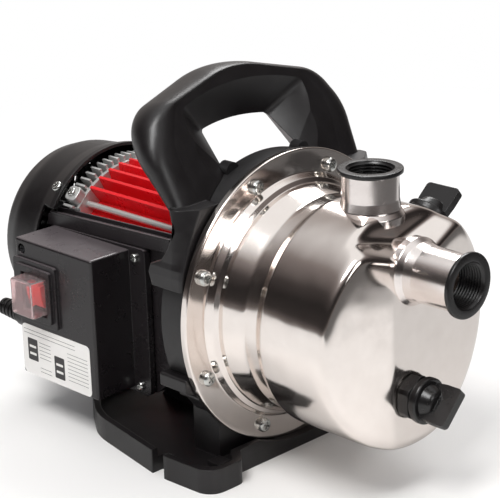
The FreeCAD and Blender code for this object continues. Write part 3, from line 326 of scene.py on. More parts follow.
def finishes():
    """Every finish of the pump, each named for what the real surface is."""
    made = {}
    # 304 steel, deep drawn and buffed: a mirror with the slow waves that pressing leaves.
    made["steel"] = surface("polished_304_steel", "#F1EAE5", "#E5DCD6", metallic=1.0,
                            rough=(0.09, 0.15), grain_mm=0.6, relief_mm=0.0015,
                            wave_mm=30, wave_relief_mm=0.45)
    # The same steel as drawn tube, turned on its end and less buffed, so it is a little duller.
    made["tube"] = surface("turned_304_tube", "#F2ECE9", "#DDD4D0", metallic=1.0,
                           rough=(0.16, 0.26), grain_mm=0.5, relief_mm=0.003)
    # Glass-filled polyamide from a spark-eroded mould: a fine even grain that greys the black.
    made["moulded"] = surface("moulded_polyamide_black", "#110F10", "#181516",
                              rough=(0.31, 0.42), grain_mm=0.9, relief_mm=0.05, edge_mm=1.2)
    # Gloss-moulded polyamide of plugs and thread inserts: smoother, with clear highlights.
    made["smooth_plastic"] = surface("smooth_polyamide_black", "#100F0F", "#171516",
                                     rough=(0.24, 0.34), grain_mm=1.4, relief_mm=0.02,
                                     edge_mm=0.6)
    # ABS of the control box: a satin skin whose upper faces are painted a lighter grey, as painted
    # light from above.
    made["box_plastic"] = surface("satin_abs_black", "#191617", "#211D1F", rough=(0.24, 0.34),
                                  grain_mm=0.8, relief_mm=0.02, edge_mm=0.8, painted_top_light="#5E5759")
    # Powder coat on cast brackets: slightly orange-peeled and dark.
    made["coat"] = surface("powder_coat_black", "#121112", "#191718", rough=(0.36, 0.5),
                           grain_mm=1.6, relief_mm=0.05)
    # Stoved red enamel on the extruded housing: bright, a little deeper where it pooled.
    made["red"] = surface("stoved_enamel_red", "#EA1C26", "#C8141C", rough=(0.24, 0.36),
                          grain_mm=1.2, relief_mm=0.02, edge_mm=0.3)
    # Raw die-cast aluminium of the comb, lugs and rods: pale grey with a cloudy skin.
    made["cast"] = surface("raw_diecast_aluminium", "#DADAD8", "#B4B3B0", metallic=0.6,
                           rough=(0.34, 0.5), grain_mm=0.7, relief_mm=0.03)
    # Clear-chromated zinc on steel screws: bright with a faint blue-grey bloom.
    made["zinc"] = surface("bright_zinc_plating", "#DADBD8", "#B4B5B2", metallic=1.0,
                           rough=(0.18, 0.3), grain_mm=0.4, relief_mm=0.004, edge_mm=0.3)
    # Cylindrical ground shaft steel: scratches run round, seen as fine bands along X.
    made["ground"] = surface("ground_shaft_steel", "#C9C8C5", "#A9A8A5", metallic=1.0,
                             rough=(0.2, 0.3), grain_mm=0.3, relief_mm=0.003, stretch=(8, 1, 1))
    # Stacked silicon-steel sheets: half-millimetre leaves drawn as fine bands across X.
    made["laminations"] = surface("stacked_silicon_steel", "#6E6A66", "#4B4744", metallic=1.0,
                                  rough=(0.4, 0.6), grain_mm=1.0, relief_mm=0.08,
                                  stretch=(6, 0.3, 0.3))
    # Varnished winding wire: amber-brown bundles of strands.
    made["copper"] = surface("varnished_copper_wire", "#B2622C", "#7F4119", metallic=1.0,
                             rough=(0.28, 0.4), grain_mm=0.8, relief_mm=0.1, stretch=(0.4, 3, 3))
    # Nitrile rubber: dead black and slightly bloomed.
    made["rubber"] = surface("nitrile_rubber", "#151515", "#201F1E", rough=(0.55, 0.7),
                             grain_mm=0.6, relief_mm=0.02)
    # Glass-filled PPO of the hydraulic parts: mid grey with visible flow.
    made["grey_plastic"] = surface("glass_filled_ppo_grey", "#5B5A58", "#494846",
                                   rough=(0.4, 0.52), grain_mm=0.8, relief_mm=0.03)
    # Lapped alumina seal face: cream and nearly glossy.
    made["ceramic"] = surface("lapped_alumina", "#E9E3D3", "#DDD6C4", rough=(0.12, 0.2),
                              grain_mm=0.6, relief_mm=0.002)
    # Polypropylene film capacitor can: off-white, waxy.
    made["pale_plastic"] = surface("capacitor_polypropylene", "#E4E1D8", "#D5D1C6",
                                   rough=(0.34, 0.44), grain_mm=1.0, relief_mm=0.02)
    # Rocker of dyed polycarbonate: a lit-looking red because light goes a little way in.
    made["rocker"] = surface("dyed_polycarbonate_red", "#F0302A", "#D8241F", rough=(0.16, 0.24),
                             grain_mm=1.5, relief_mm=0.01, edge_mm=0.4,
                             **{"Subsurface Weight": 0.25, "Subsurface Scale": 0.004})
    # Soft PVC splash cap: clear, pinkish and slightly rippled, so the rocker's red shows through.
    made["clear"] = surface("soft_clear_pvc", "#FFF2F2", "#F9E2E2", rough=(0.03, 0.09),
                            grain_mm=2.5, relief_mm=0.12,
                            **{"Transmission Weight": 0.9, "IOR": 1.3})
    # A darker copy of the screw metal for the sunk box screws, as painted shade in their corners,
    # with an oily sheen.
    made["painted_shade_screw"] = surface("zinc_in_painted_shade", "#232325", "#2F2F31", metallic=1.0,
                                rough=(0.3, 0.42), grain_mm=0.5, relief_mm=0.01)
    # Vinyl label stock: white with a satin overlaminate.
    made["vinyl"] = surface("white_vinyl_film", "#EDEBE8", "#E2DFDB", rough=(0.28, 0.38),
                            grain_mm=1.5, relief_mm=0.01)
    # Screen-printed ink on it: thin, dark grey and a little uneven.
    made["ink"] = surface("screen_printed_ink", "#2A2829", "#3A3738", rough=(0.4, 0.55),
                          grain_mm=0.6, relief_mm=0.005)
    return made


NODE_FINISHES = {
    "steel": ("pump_casing", "discharge_neck", "suction_neck", "seal_plate", "ejector_body"),
    "smooth_plastic": ("discharge_thread_insert", "suction_thread_insert", "filler_boss",
                       "filler_plug", "drain_boss", "drain_plug", "gland_body", "gland_nut",
                       "gland_lock_nut", "switch_body"),
    "rubber": ("filler_gasket", "drain_gasket", "casing_gasket", "box_gasket", "water_slinger"),
    "zinc": ("casing_screws", "handle_screws", "stand_screws", "fan_cover_screws",
             "box_screws", "impeller_nut", "capacitor_clip", "fan_cover_tabs"),
    "moulded": ("carry_handle", "stand", "fan_cover"),
    "coat": ("motor_bracket",),
    "box_plastic": ("box_tray", "box_cover"),
    "red": ("motor_housing",),
    "cast": ("rear_end_shield", "rotor_core", "tie_rods"),
    "ground": ("rotor_shaft", "front_bearing_outer", "front_bearing_inner", "rear_bearing_outer",
               "rear_bearing_inner"),
    "laminations": ("stator_core",),
    "copper": ("stator_windings",),
    "grey_plastic": ("cooling_fan", "impeller", "diffuser", "jet_nozzle"),
    "ceramic": ("seal_seat", "seal_head"),
    "pale_plastic": ("run_capacitor", "terminal_block"),
    "rocker": ("switch_rocker",),
    "clear": ("splash_cap",),
}
made_finishes = {}


def finish(key):
    """The finish of that key. All of them are made the first time that one is asked for."""
    if not made_finishes:
        made_finishes.update(finishes())
    return made_finishes[key]


def dress(piece, key):
    """Gives the piece this finish and no other."""
    piece.data.materials.clear()
    piece.data.materials.append(finish(key))
    return piece


# ---------------------------------------------------------------- settings

def millimetres(name, text, value, low=0.0):
    """A length property in metres, given in millimetres."""
    return bpy.props.FloatProperty(name=name, description=text, default=value * MM, min=low,
                                   unit="LENGTH", subtype="DISTANCE", precision=5)


class PumpCasingSizes(bpy.types.PropertyGroup):
    """The pressing's driving sizes."""
    flange_radius: millimetres("Flange radius", "Outside of the screwed flange", 109)
    bead_radius: millimetres("Bead radius", "Foot of the step inside the screw circle", 88.4)
    bead_top: millimetres("Bead top radius", "Top of that step", 84.6)
    waist_radius: millimetres("Waist radius", "Neck between flange and drum", 80)
    drum_radius: millimetres("Drum radius", "Outside of the drum", 85)
    drum_front: millimetres("Drum front", "Foremost point of the pressing", 116)
    deck_height: millimetres("Deck height", "Height of the flat round the top port", 79)
    valley_height: millimetres("Valley height", "Lowest line of the V in front of it", 61.5)
    ridge_softness: bpy.props.FloatProperty(
        name="Ridge softness", description="How widely the pressed ridges are rounded",
        default=1.0, min=0.2, max=3.0, subtype="FACTOR")


class PumpStageSettings(bpy.types.PropertyGroup):
    """The camera's place and lens, and the floor's colour."""
    azimuth: bpy.props.FloatProperty(name="Azimuth", description="Camera's turn round the pump",
                                     default=math.radians(45.86), subtype="ANGLE")
    elevation: bpy.props.FloatProperty(name="Elevation", description="Camera's height angle",
                                       default=math.radians(18.83), subtype="ANGLE")
    roll: bpy.props.FloatProperty(name="Roll", description="Camera's tilt round its own line",
                                  default=math.radians(-1.74), subtype="ANGLE")
    distance: millimetres("Distance", "From the camera to the pump's middle", 1335.79)
    lens: bpy.props.FloatProperty(name="Lens", description="Focal length on 36 mm",
                                  default=129.47, min=1.0, unit="CAMERA")
    floor_colour: bpy.props.FloatVectorProperty(
        name="Floor colour", description="The plain floor under the pump", size=3,
        default=linear("#F1EFEC")[:3], min=0.0, max=1.0, subtype="COLOR")


# ---------------------------------------------------------------- the pressing

def first_hit(line, rise, direction, centre_x):
    """How far from the axis point a ray first meets a height line that rises to the sides.
    The search halves a span that ends well outside the pump."""
    low, high = 0.0, 400.0
    climb = direction.z - rise * abs(direction.y)
    if climb * high < height_on(line, centre_x + direction.x * high):
        return high
    for step in range(22):
        middle = (low + high) / 2
        if climb * middle < height_on(line, centre_x + direction.x * middle):
            low = middle
        else:
            high = middle
    return high


def height_on(line, x):
    """The line's height at x. Behind the line nothing is in the way, so it is out of reach."""
    if x <= line[0].x:
        return 1000.0
    for start, end in zip(line[:-1], line[1:]):
        if x <= end.x:
            return start.y + (end.y - start.y) * (x - start.x) / (end.x - start.x)
    return line[-1].y


class PUMP_OT_casing(bpy.types.Operator):
    """Spins the steel pressing, then sinks its deck, its V and the slopes of its front"""
    bl_idname = "pump.casing"
    bl_label = "Steel pressing"

    def execute(self, context):
        sizes = context.scene.pump_casing
        flange, bead, top = (each / MM for each in (sizes.flange_radius, sizes.bead_radius,
                                                    sizes.bead_top))
        waist, drum, front = (each / MM for each in (sizes.waist_radius, sizes.drum_radius,
                                                     sizes.drum_front))
        outline = with_arcs([(-5, flange - 1.6), (-5, flange), (0, flange, 1), (0, bead + 2.6, 1.5),
                             (5.4, bead, 1.5), (7.6, top + 0.6, 0.8), (11.3, top, 1.2),
                             (27, waist, 12), (40, waist, 3), (48, drum, 4), (front, drum, 16),
                             (front, 0)], 8)
        casing = turned("casing_pressing", even(outline, 1.5), at(0, 0, 0), FORWARD, 240,
                        sideways=Vector((0, 0, -1)))
        # Both height lines, as (along X, height), run on past the drum's front.
        deck = with_arcs([(40, 87), (54, 86, 20), (94.5, sizes.deck_height / MM, 5), (140, 71)], 8)
        deck[-1] = Vector((300, 50))
        valley = sizes.valley_height / MM
        notch = with_arcs([(93.5, 81), (98, valley, 7), (140, valley - 19)], 10)
        notch[-1] = Vector((300, valley - 110))
        deck_rise, notch_rise = 0.1, 0.27
        # The nose is flat as far out as cheek_foot, and its cheeks fall back from there.
        cheek_foot, slope = 24, 14.5 / 95
        # Rays start on the axis, at most hub_front along. Nothing behind sunk_from moves.
        hub_front, sunk_from = 60.0, 44
        # A higher power rounds its ridge less.
        nose_power, deck_power, notch_power = (power / sizes.ridge_softness
                                               for power in (260, 90, 34))
        corner_power = 27

        def rounded_least(lengths, power):
            """The smallest length, with the corner between near equals rounded off."""
            least = min(lengths)
            total = sum((length / least) ** -power for length in lengths)
            return least * total ** (-1 / power)

        def sink(place):
            """Draws a point of the plain drum in along its ray from the axis to the first form."""
            local = (place - at(0, 0, 0)) / MM
            centre = min(local.x, hub_front)
            ray = Vector((local.x - centre, local.y, local.z))
            reach = ray.length
            if local.x < sunk_from or reach < 1e-6:
                return place
            ray.normalize()
            if ray.x > 0:
                side = drum / max((ray.y * ray.y + ray.z * ray.z) ** 0.5, 0.001)
                cheek = (front + cheek_foot * slope - centre) / (ray.x + slope * abs(ray.y))
                nose = rounded_least(((front - centre) / ray.x, cheek), nose_power)
                reach = rounded_least((side, nose), corner_power)
            if ray.z > 0.05:
                for line, rise, power in ((deck, deck_rise, deck_power),
                                          (notch, notch_rise, notch_power)):
                    hit = first_hit(line, rise, ray, centre)
                    reach = rounded_least((reach, hit), power)
            return at(centre, 0, 0) + ray * reach * MM

        moved(casing, sink)
        modify(casing, "SOLIDIFY", thickness=1.5 * MM, offset=-1.0)
        # The ports open through the sheet.
        bore, depth = 19.5, 60
        for seat, direction in ((at(74, 0, 60), UP), (at(100, 0, 44.9), FORWARD)):
            cutter = turned("cutter", [(0, 0), (0, bore), (depth, bore), (depth, 0)], seat,
                            direction, 96)
            modify(casing, "BOOLEAN", operation="DIFFERENCE", object=cutter, solver="EXACT")
            bpy.data.objects.remove(cutter)
        settle(casing, 32)
        dress(casing, "steel")
        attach(casing, "pump")
        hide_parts("pump_casing")
        return {"FINISHED"}


class PUMP_OT_necks(bpy.types.Operator):
    """Turns the two port necks with the welded collars at their feet"""
    bl_idname = "pump.necks"
    bl_label = "Port necks"

    def execute(self, context):
        # Each neck's length under the insert's rim, and how deep its collar's foot lies.
        rim = 3
        for name, (seat, direction), length, depth in (("discharge_neck", DISCHARGE, 36, 33.5),
                                                       ("suction_neck", SUCTION, 60, 46)):
            foot = rim + length - depth
            outline = with_arcs([(0, 18.5), (0, 20), (foot - 4, 20), (foot - 4, 24.2),
                                 (foot + 1.5, 24.2, 1.5), (foot + 5, 21.4, 3), (foot + 12, 20.2, 4),
                                 (length - 1, 20, 0.4), (length, 19.6), (length, 18.5),
                                 (0, 18.5)], 6)
            neck = turned("port_" + name, outline, seat - direction * (length + rim) * MM,
                          direction, 128)
            dress(neck, "tube")
            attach(neck, "pump")
            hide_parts(name)
        return {"FINISHED"}


def crossed_screw(name, head, height, shank, length):
    """A pan-head screw along +X with its seat at the origin and a sunk cross."""
    outline = with_arcs([(-length, 0), (-length, shank), (0, shank), (0, head),
                         (height, head, height * 0.6), (height, 0)], 6)
    screw = turned(name, outline, Vector((0, 0, 0)), FORWARD, 40)
    for turn in (0, 90):
        slot = block("cutter", (height * MM, 0, 0), (height * 0.95, head * 1.1, head * 0.2),
                     math.radians(turn))
        enter(slot)
        bpy.ops.mesh.bevel(offset=0.2 * MM, segments=2)
        leave()
        modify(screw, "BOOLEAN", operation="DIFFERENCE", object=slot, solver="EXACT")
        bpy.data.objects.remove(slot)
    return screw


class PUMP_OT_casing_screws(bpy.types.Operator):
    """Turns one pan-head flange screw, sinks its cross and copies it round the flange"""
    bl_idname = "pump.casing_screws"
    bl_label = "Flange screws"

    def execute(self, context):
        screw = crossed_screw("flange_screw", 5.5, 4.5, 3, 8)
        count, circle = 8, 98
        screws = []
        for index in range(count):
            turn = math.radians((index + 0.5) * 360 / count)
            other = duplicate(screw, "flange_screw_%d" % index)
            # No two crosses stand alike.
            own_turn = Matrix.Rotation(math.radians(31 * index), 4, "X")
            seat = at(0, circle * math.cos(turn), circle * math.sin(turn))
            other.data.transform(Matrix.Translation(seat) @ own_turn)
            screws.append(other)
        bpy.data.objects.remove(screw)
        group = settle(joined("flange_screws", screws))
        dress(group, "zinc")
        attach(group, "pump")
        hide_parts("casing_screws")
        return {"FINISHED"}


class PUMP_OT_box_screws(bpy.types.Operator):
    """Turns the control box's screws: two bright on its ears, and two in its sunk corners with a
    darker copy of the finish as painted shade
    """
    bl_idname = "pump.box_screws"
    bl_label = "Box screws"

    def execute(self, context):
        screw = crossed_screw("box_screw", 3.6, 2.8, 2, 11)
        outwards = Matrix.Rotation(math.radians(-90), 4, "Z")
        screws = []
        seats = ((-103, -64, -81, "zinc"), (-103, -64, 22, "zinc"),
                 # The two corner screws take the dark finish: painted shade for their sunk corners.
                 (-192, -97.8, -76, "painted_shade_screw"), (-192, -97.8, 19, "painted_shade_screw"))
        for index, (x, y, z, key) in enumerate(seats):
            other = duplicate(screw, "box_screw_%d" % index)
            own_turn = Matrix.Rotation(math.radians(27 * index + 12), 4, "X")
            other.data.transform(Matrix.Translation(at(x, y, z)) @ outwards @ own_turn)
            screws.append(dress(other, key))
        bpy.data.objects.remove(screw)
        group = settle(joined("control_box_screws", screws))
        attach(group, "pump")
        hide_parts("box_screws")
        return {"FINISHED"}


class PUMP_OT_fan(bpy.types.Operator):
    """Turns the fan's hub and plate, and sets seven swept blades on them"""
    bl_idname = "pump.fan"
    bl_label = "Cooling fan"

    def execute(self, context):
        outline = with_arcs([(-234, 7.05), (-234, 12, 1.5), (-215, 12, 2), (-213, 18, 3),
                             (-213, 56, 0.4), (-211, 56, 0.4), (-211, 12, 1), (-210, 11),
                             (-210, 7.05), (-234, 7.05)], 5)
        hub = turned("fan_hub", outline, at(0, 0, 0), FORWARD, 96)
        middle, length, root, height = -231, 38, 10.5, 47
        blade = block("fan_blade", at(middle, 0, root + height / 2), (length, 1.8, height))
        enter(blade)
        bpy.ops.mesh.subdivide(number_cuts=9)
        leave()

        def sweep(place):
            """Bends a blade aside, more towards its tip, and cuts its rear corner back."""
            out = (place.z - SHAFT) / MM - root
            rear = max(0.0, (middle * MM - place.x) / (length / 2 * MM))
            share = (out / height) ** 2
            return place + Vector((rear * max(0.0, out - 30) ** 2 * 0.03, share * 17,
                                   -share * 2.5)) * MM

        modify(moved(blade, sweep), "BEVEL", width=0.4 * MM, segments=2, limit_method="ANGLE")
        blades = [hub]
        count = 7
        centre = Matrix.Translation(at(0, 0, 0))
        for index in range(count):
            other = duplicate(blade, "fan_blade_%d" % index)
            spin = Matrix.Rotation(math.tau * index / count, 4, "X")
            other.data.transform(centre @ spin @ centre.inverted())
            blades.append(other)
        bpy.data.objects.remove(blade)
        fan = settle(joined("fan_wheel", blades))
        dress(fan, "grey_plastic")
        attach(fan, "rotor")
        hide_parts("cooling_fan")
        return {"FINISHED"}


class PUMP_OT_finger_guard(bpy.types.Operator):
    """Turns the rings that cross the cowl's radial slots on the inside and keep fingers out"""
    bl_idname = "pump.finger_guard"
    bl_label = "Cowl guard rings"

    def execute(self, context):
        rear, front = -259.9, -253.5
        rings = []
        for index in range(7):
            radius = 17.5 + 6 * index
            outline = with_arcs([(rear, radius - 0.6), (rear, radius + 0.6),
                                 (front, radius + 0.5, 0.3), (front, radius - 0.5, 0.3),
                                 (rear, radius - 0.6)], 3)
            rings.append(turned("guard_ring_%d" % index, outline, at(0, 0, 0), FORWARD, 96))
        guard = settle(joined("guard_rings", rings))
        dress(guard, "moulded")
        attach(guard, "pump")
        return {"FINISHED"}


class PUMP_OT_rod_lugs(bpy.types.Operator):
    """Sets a cast lug and its screw over the rear end of each upper tie rod"""
    bl_idname = "pump.rod_lugs"
    bl_label = "Tie rod lugs"

    def execute(self, context):
        # Made upright over the axis at the origin, then turned to both rods.
        place, middle, size = -184.6, 67, Vector((12.6, 12, 19))
        lug = block("rod_lug", (place * MM, 0, middle * MM), size)
        enter(lug)
        select_edges(lug, lambda way: abs(way.z) > ALONG)
        bpy.ops.mesh.bevel(offset=3.5 * MM, segments=5)
        leave()
        modify(lug, "BEVEL", width=0.7 * MM, segments=3, limit_method="ANGLE")
        screw = crossed_screw("lug_screw", 3.6, 2.6, 2, 6)
        upright = Matrix.Rotation(math.radians(-90), 4, "Y")
        top = Matrix.Translation(Vector((place, 0, middle + size.z / 2)) * MM)
        screw.data.transform(top @ upright)
        dress(lug, "cast")
        dress(screw, "zinc")
        pair = joined("lug_and_screw", [lug, screw])
        lugs = []
        for turn in (45, -45):
            other = duplicate(pair, "rod_lug_%d" % turn)
            spin = Matrix.Rotation(math.radians(turn), 4, "X")
            other.data.transform(Matrix.Translation(at(0, 0, 0)) @ spin)
            lugs.append(other)
        bpy.data.objects.remove(pair)
        group = settle(joined("rod_lugs", lugs))
        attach(group, "pump")
        return {"FINISHED"}


class PUMP_OT_ledge_beads(bpy.types.Operator):
    """Lays the two drip beads along the sloping rain ledge over the control box"""
    bl_idname = "pump.ledge_beads"
    bl_label = "Ledge beads"

    def execute(self, context):
        # The ledge's height in its middle, how deep the beads sit in it, and its slope along X.
        ledge, sunk, rise = 38.7, 0.8, 6.5 / 144
        beads = []
        for y, height in ((-62.1, 2.2), (-54.2, 3.4)):
            bead = block("ledge_bead", at(-134, y, ledge + height / 2 - sunk / 2),
                         (138, 1.7, height + sunk))
            enter(bead)
            select_edges(bead, lambda way: max(abs(way.x), abs(way.y)) > ALONG)
            bpy.ops.mesh.bevel(offset=0.5 * MM, segments=3)
            leave()
            beads.append(moved(bead, lambda place: place + UP * (place.x + 134 * MM) * rise))
        group = settle(joined("ledge_beads", beads))
        dress(group, "box_plastic")
        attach(group, "pump")
        return {"FINISHED"}


class PUMP_OT_thread_inserts(bpy.types.Operator):
    """Turns the black inserts of both ports, each with its rim and eleven-per-inch thread"""
    bl_idname = "pump.thread_inserts"
    bl_label = "Port thread inserts"

    def execute(self, context):
        pitch = 25.4 / 11
        crest_radius, root_radius = 15.2, 16.4
        for name, (seat, direction) in (("discharge_thread_insert", DISCHARGE),
                                        ("suction_thread_insert", SUCTION)):
            outline = with_arcs([(-22, root_radius), (-22, 18.45), (-3, 18.45), (-3, 23, 0.6),
                                 (0, 23, 0.8), (0, 16.8, 0.5), (-1.2, root_radius)], 4)
            for turn in range(9):
                start = -1.2 - turn * pitch
                outline += [Vector((start - 0.9, crest_radius)),
                            Vector((start - 1.3, crest_radius)),
                            Vector((start - pitch, root_radius))]
            outline.append(Vector((-22, root_radius)))
            insert = turned("thread_" + name, outline, seat, direction, 96)
            dress(insert, "smooth_plastic")
            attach(insert, "pump")
            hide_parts(name)
        return {"FINISHED"}


class PUMP_OT_rating_label(bpy.types.Operator):
    """Lays a blank ruled vinyl label on the control box, with two empty dark fields"""
    bl_idname = "pump.rating_label"
    bl_label = "Blank label"

    def execute(self, context):
        # The cover's face, and how far the film, the ink and what lies on the ink stand off it.
        face = -101.0
        film, ink_back, ink, field_front, bar_front = (face - off
                                                       for off in (0.3, 0.28, 0.34, 0.36, 0.4))
        label = slab("blank_label", (-198, film, -83), (-117, face, -42), 4)
        dress(label, "vinyl")
        marks = []
        for x, z in ((-192, -62), (-160, -69)):
            marks.append(slab("field", (x, field_front, z - 9), (x + 12, ink_back, z + 9), 0.8, 2))
            for row in (-4.5, 1.5):
                bar = slab("rule", (x + 2, bar_front, z + row), (x + 10, ink, z + row + 2), 0.3, 1)
                dress(bar, "vinyl")
                marks.append(bar)
        pitch, line = 3.1, 0.35
        for left, right, top, count in ((-196, -134, -46, 2), (-178, -164, -54, 5),
                                        (-144, -120, -54, 8), (-178, -164, -75, 2)):
            for row in range(count):
                z = top - row * pitch
                marks.append(slab("rule", (left, ink, z - line), (right, ink_back, z), 0.15, 1))
        for mark in marks:
            if not mark.data.materials:
                dress(mark, "ink")
        print_layer = settle(joined("label_rules", marks))
        for piece in (label, print_layer):
            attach(piece, "pump")
        return {"FINISHED"}


class PUMP_OT_dress_frame(bpy.types.Operator):
    """Gives every frame node the finish of the real part"""
    bl_idname = "pump.dress_frame"
    bl_label = "Frame finishes"

    def execute(self, context):
        missing = set(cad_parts) - {name for names in NODE_FINISHES.values()
                                         for name in names}
        if missing:
            raise RuntimeError("no finish is named for %s" % sorted(missing))
        for key, names in NODE_FINISHES.items():
            for name in names:
                dress(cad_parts[name], key)
        return {"FINISHED"}


# ---------------------------------------------------------------- stage

class PUMP_OT_stage(bpy.types.Operator):
    """Sets the pale floor, the white room, the soft lamps and the camera"""
    bl_idname = "pump.stage"
    bl_label = "Stage and camera"

    def execute(self, context):
        settings = context.scene.pump_stage
        self.floor(settings)
        self.room(context.scene)
        self.lamps()
        self.camera(context.scene, settings)
        context.scene.view_settings.view_transform = "Standard"
        return {"FINISHED"}

    def floor(self, settings):
        """The pale board under the pump, and what steel sees of it."""
        bpy.ops.mesh.primitive_plane_add(size=12, location=(0, 0, 0))
        floor = named("studio_floor")
        enter(floor)
        bpy.ops.mesh.subdivide(number_cuts=7)
        leave()
        # Matt laminated board: very faint cloudiness, and paper white away from the pump.
        material, tree, output = fresh("matt_white_board")
        where = add(tree, "ShaderNodeTexCoord").outputs["Object"]
        cloud = add(tree, "ShaderNodeTexNoise", {"Vector": where}, values={"Scale": 3.0})
        tone = tinted(tree, cloud.outputs["Fac"], (*settings.floor_colour, 1.0),
                      linear("#F4F2F0"))
        board = add(tree, "ShaderNodeBsdfPrincipled", {"Base Color": tone},
                    values={"Roughness": 0.6})
        far = add(tree, "ShaderNodeVectorMath", {0: where}, operation="LENGTH").outputs["Value"]
        white = add(tree, "ShaderNodeEmission", values={"Color": (1, 1, 1, 1), "Strength": 1.0})
        path = add(tree, "ShaderNodeLightPath")
        seen, mirrored = path.outputs["Is Camera Ray"], path.outputs["Is Glossy Ray"]
        # The eye sees it fade to white slowly, steel sees it whiter from close by.
        share = maths(tree, "MAXIMUM", maths(tree, "MULTIPLY", ranged(tree, far, 0.25, 1.1), seen),
                      maths(tree, "MULTIPLY", ranged(tree, far, 0.2, 0.4, high=0.85), mirrored))
        mix = blended(tree, share, board.outputs[0], white.outputs[0])
        # In steel the board ends in the dark of the room to the front and is duller to the rear:
        # the way measured along, where the loss starts and is full, and how much it takes.
        losses = []
        for way, start, end, most in (((0.94, 0.342, 0), 0.44, 0.53, 0.88),
                                      ((-0.616, 0.788, 0), -0.13, -0.07, 0.28)):
            along = add(tree, "ShaderNodeVectorMath", {0: where}, operation="DOT_PRODUCT")
            along.inputs[1].default_value = way
            losses.append(ranged(tree, along.outputs["Value"], start, end, high=most))
        hidden = maths(tree, "MULTIPLY", maths(tree, "MAXIMUM", *losses), mirrored)
        dusk = add(tree, "ShaderNodeEmission", values={"Color": linear("#2A2625"),
                                                       "Strength": 1.0})
        tree.links.new(blended(tree, hidden, mix, dusk.outputs[0]), output.inputs["Surface"])
        floor.data.materials.append(material)

    def room(self, scene):
        """White to the eye, and to steel a room: pale above, dark round the horizon."""
        world = bpy.data.worlds.new("studio_room")
        scene.world = world
        world.use_nodes = True
        tree = world.node_tree
        tree.nodes.clear()
        where = add(tree, "ShaderNodeTexCoord").outputs["Generated"]
        axes = add(tree, "ShaderNodeSeparateXYZ", {"Vector": where})
        room = add(tree, "ShaderNodeValToRGB", {"Fac": axes.outputs["Z"]})
        ramp = room.color_ramp
        ramp.elements[0].position = 0.0
        ramp.elements[0].color = linear("#6E6765")
        ramp.elements[1].position = 0.85
        ramp.elements[1].color = linear("#FFFFFF")
        for place, colour in ((0.1, "#332F2E"), (0.3, "#262322"), (0.46, "#3F3A39"),
                              (0.66, "#857D7B")):
            ramp.elements.new(place).color = linear(colour)
        path = add(tree, "ShaderNodeLightPath")
        soft = add(tree, "ShaderNodeBackground", values={"Color": linear("#F2F4F8"),
                                                         "Strength": 0.55})
        # The paper backdrop hangs behind the pump, so steel sees pale grey on that side only.
        behind = add(tree, "ShaderNodeVectorMath", {0: where}, operation="DOT_PRODUCT")
        behind.inputs[1].default_value = (-0.72, 0.69, 0.0)
        paper = ranged(tree, behind.outputs["Value"], 0.5, 0.8)
        walls = tinted(tree, paper, room.outputs[0], linear("#B3ACA8"))
        mirrored = add(tree, "ShaderNodeBackground", {"Color": walls}, values={"Strength": 1.0})
        white = add(tree, "ShaderNodeBackground", values={"Color": (1, 1, 1, 1), "Strength": 1.0})
        shown = blended(tree, path.outputs["Is Glossy Ray"], soft.outputs[0], mirrored.outputs[0])
        for ray in ("Is Transmission Ray", "Is Camera Ray"):
            shown = blended(tree, path.outputs[ray], shown, white.outputs[0])
        output = add(tree, "ShaderNodeOutputWorld")
        tree.links.new(shown, output.inputs["Surface"])

    def lamps(self):
        """Three soft boxes: a key up and left of the camera, a fill right, a strip behind."""
        middle = Vector((-0.05, 0, 0.14))
        for name, place, size, power in (("key", (0.2, -1.0, 1.95), 0.9, 32),
                                         ("fill", (1.7, -0.1, 0.9), 0.7, 6),
                                         ("rim", (-0.9, 1.1, 1.5), 0.8, 16)):
            bpy.ops.object.light_add(type="AREA", location=place)
            lamp = named("soft_box_" + name)
            lamp.data.size = size
            lamp.data.energy = power
            away = Vector(place) - middle
            lamp.rotation_euler = away.to_track_quat("Z", "Y").to_euler()

    def camera(self, scene, settings):
        """The camera as it was fitted to the photograph."""
        turn, rise = settings.azimuth, settings.elevation
        target = Vector((-46.15, 0, 142.86)) * MM
        away = Vector((math.sin(turn) * math.cos(rise), -math.cos(turn) * math.cos(rise),
                       math.sin(rise)))
        bpy.ops.object.camera_add(location=target + away * settings.distance)
        camera = named("product_camera")
        right = UP.cross(away).normalized()
        upright = away.cross(right)
        side = right * math.cos(settings.roll) + upright * math.sin(settings.roll)
        top = upright * math.cos(settings.roll) - right * math.sin(settings.roll)
        turned_to = Matrix((side, top, away)).transposed()
        camera.rotation_euler = turned_to.to_euler()
        camera.data.sensor_fit = "HORIZONTAL"
        camera.data.sensor_width = 36
        camera.data.lens = settings.lens
        camera.data.clip_end = 20
        scene.camera = camera


class PUMP_PT_panel(bpy.types.Panel):
    """Lists the pump's pieces and sizes in the sidebar"""
    bl_idname = "PUMP_PT_panel"
    bl_label = "Garden jet pump"
    bl_space_type = "VIEW_3D"
    bl_region_type = "UI"
    bl_category = "Pump"

    def draw(self, context):
        column = self.layout.column()
        for group in (context.scene.pump_casing, context.scene.pump_stage):
            for name in group.__annotations__:
                column.prop(group, name)
        for operator in OPERATORS:
            column.operator(operator.bl_idname)


OPERATORS = (PUMP_OT_dress_frame, PUMP_OT_casing, PUMP_OT_necks, PUMP_OT_thread_inserts,
             PUMP_OT_casing_screws, PUMP_OT_box_screws, PUMP_OT_fan, PUMP_OT_finger_guard,
             PUMP_OT_rod_lugs, PUMP_OT_ledge_beads, PUMP_OT_rating_label, PUMP_OT_stage)
GROUPS = (PumpCasingSizes, PumpStageSettings)


def register():
    for kind in GROUPS + OPERATORS + (PUMP_PT_panel,):
        bpy.utils.register_class(kind)
    bpy.types.Scene.pump_casing = bpy.props.PointerProperty(type=PumpCasingSizes)
    bpy.types.Scene.pump_stage = bpy.props.PointerProperty(type=PumpStageSettings)


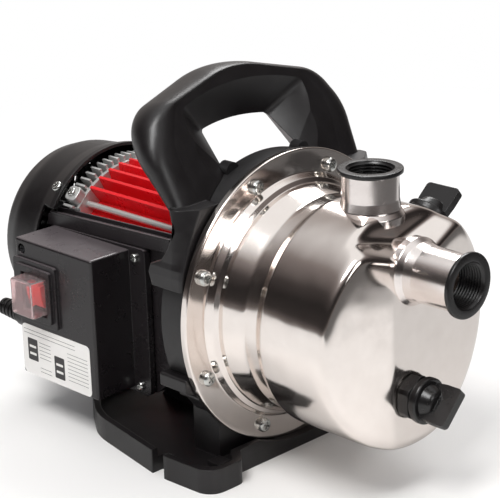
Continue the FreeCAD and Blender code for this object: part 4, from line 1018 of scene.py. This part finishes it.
def unregister():
    del bpy.types.Scene.pump_stage
    del bpy.types.Scene.pump_casing
    for kind in reversed(GROUPS + OPERATORS + (PUMP_PT_panel,)):
        bpy.utils.unregister_class(kind)


def main():
    register()
    for operator in OPERATORS:
        group, name = operator.bl_idname.split(".")
        getattr(getattr(bpy.ops, group), name)()


if __name__ == "__main__":
    main()
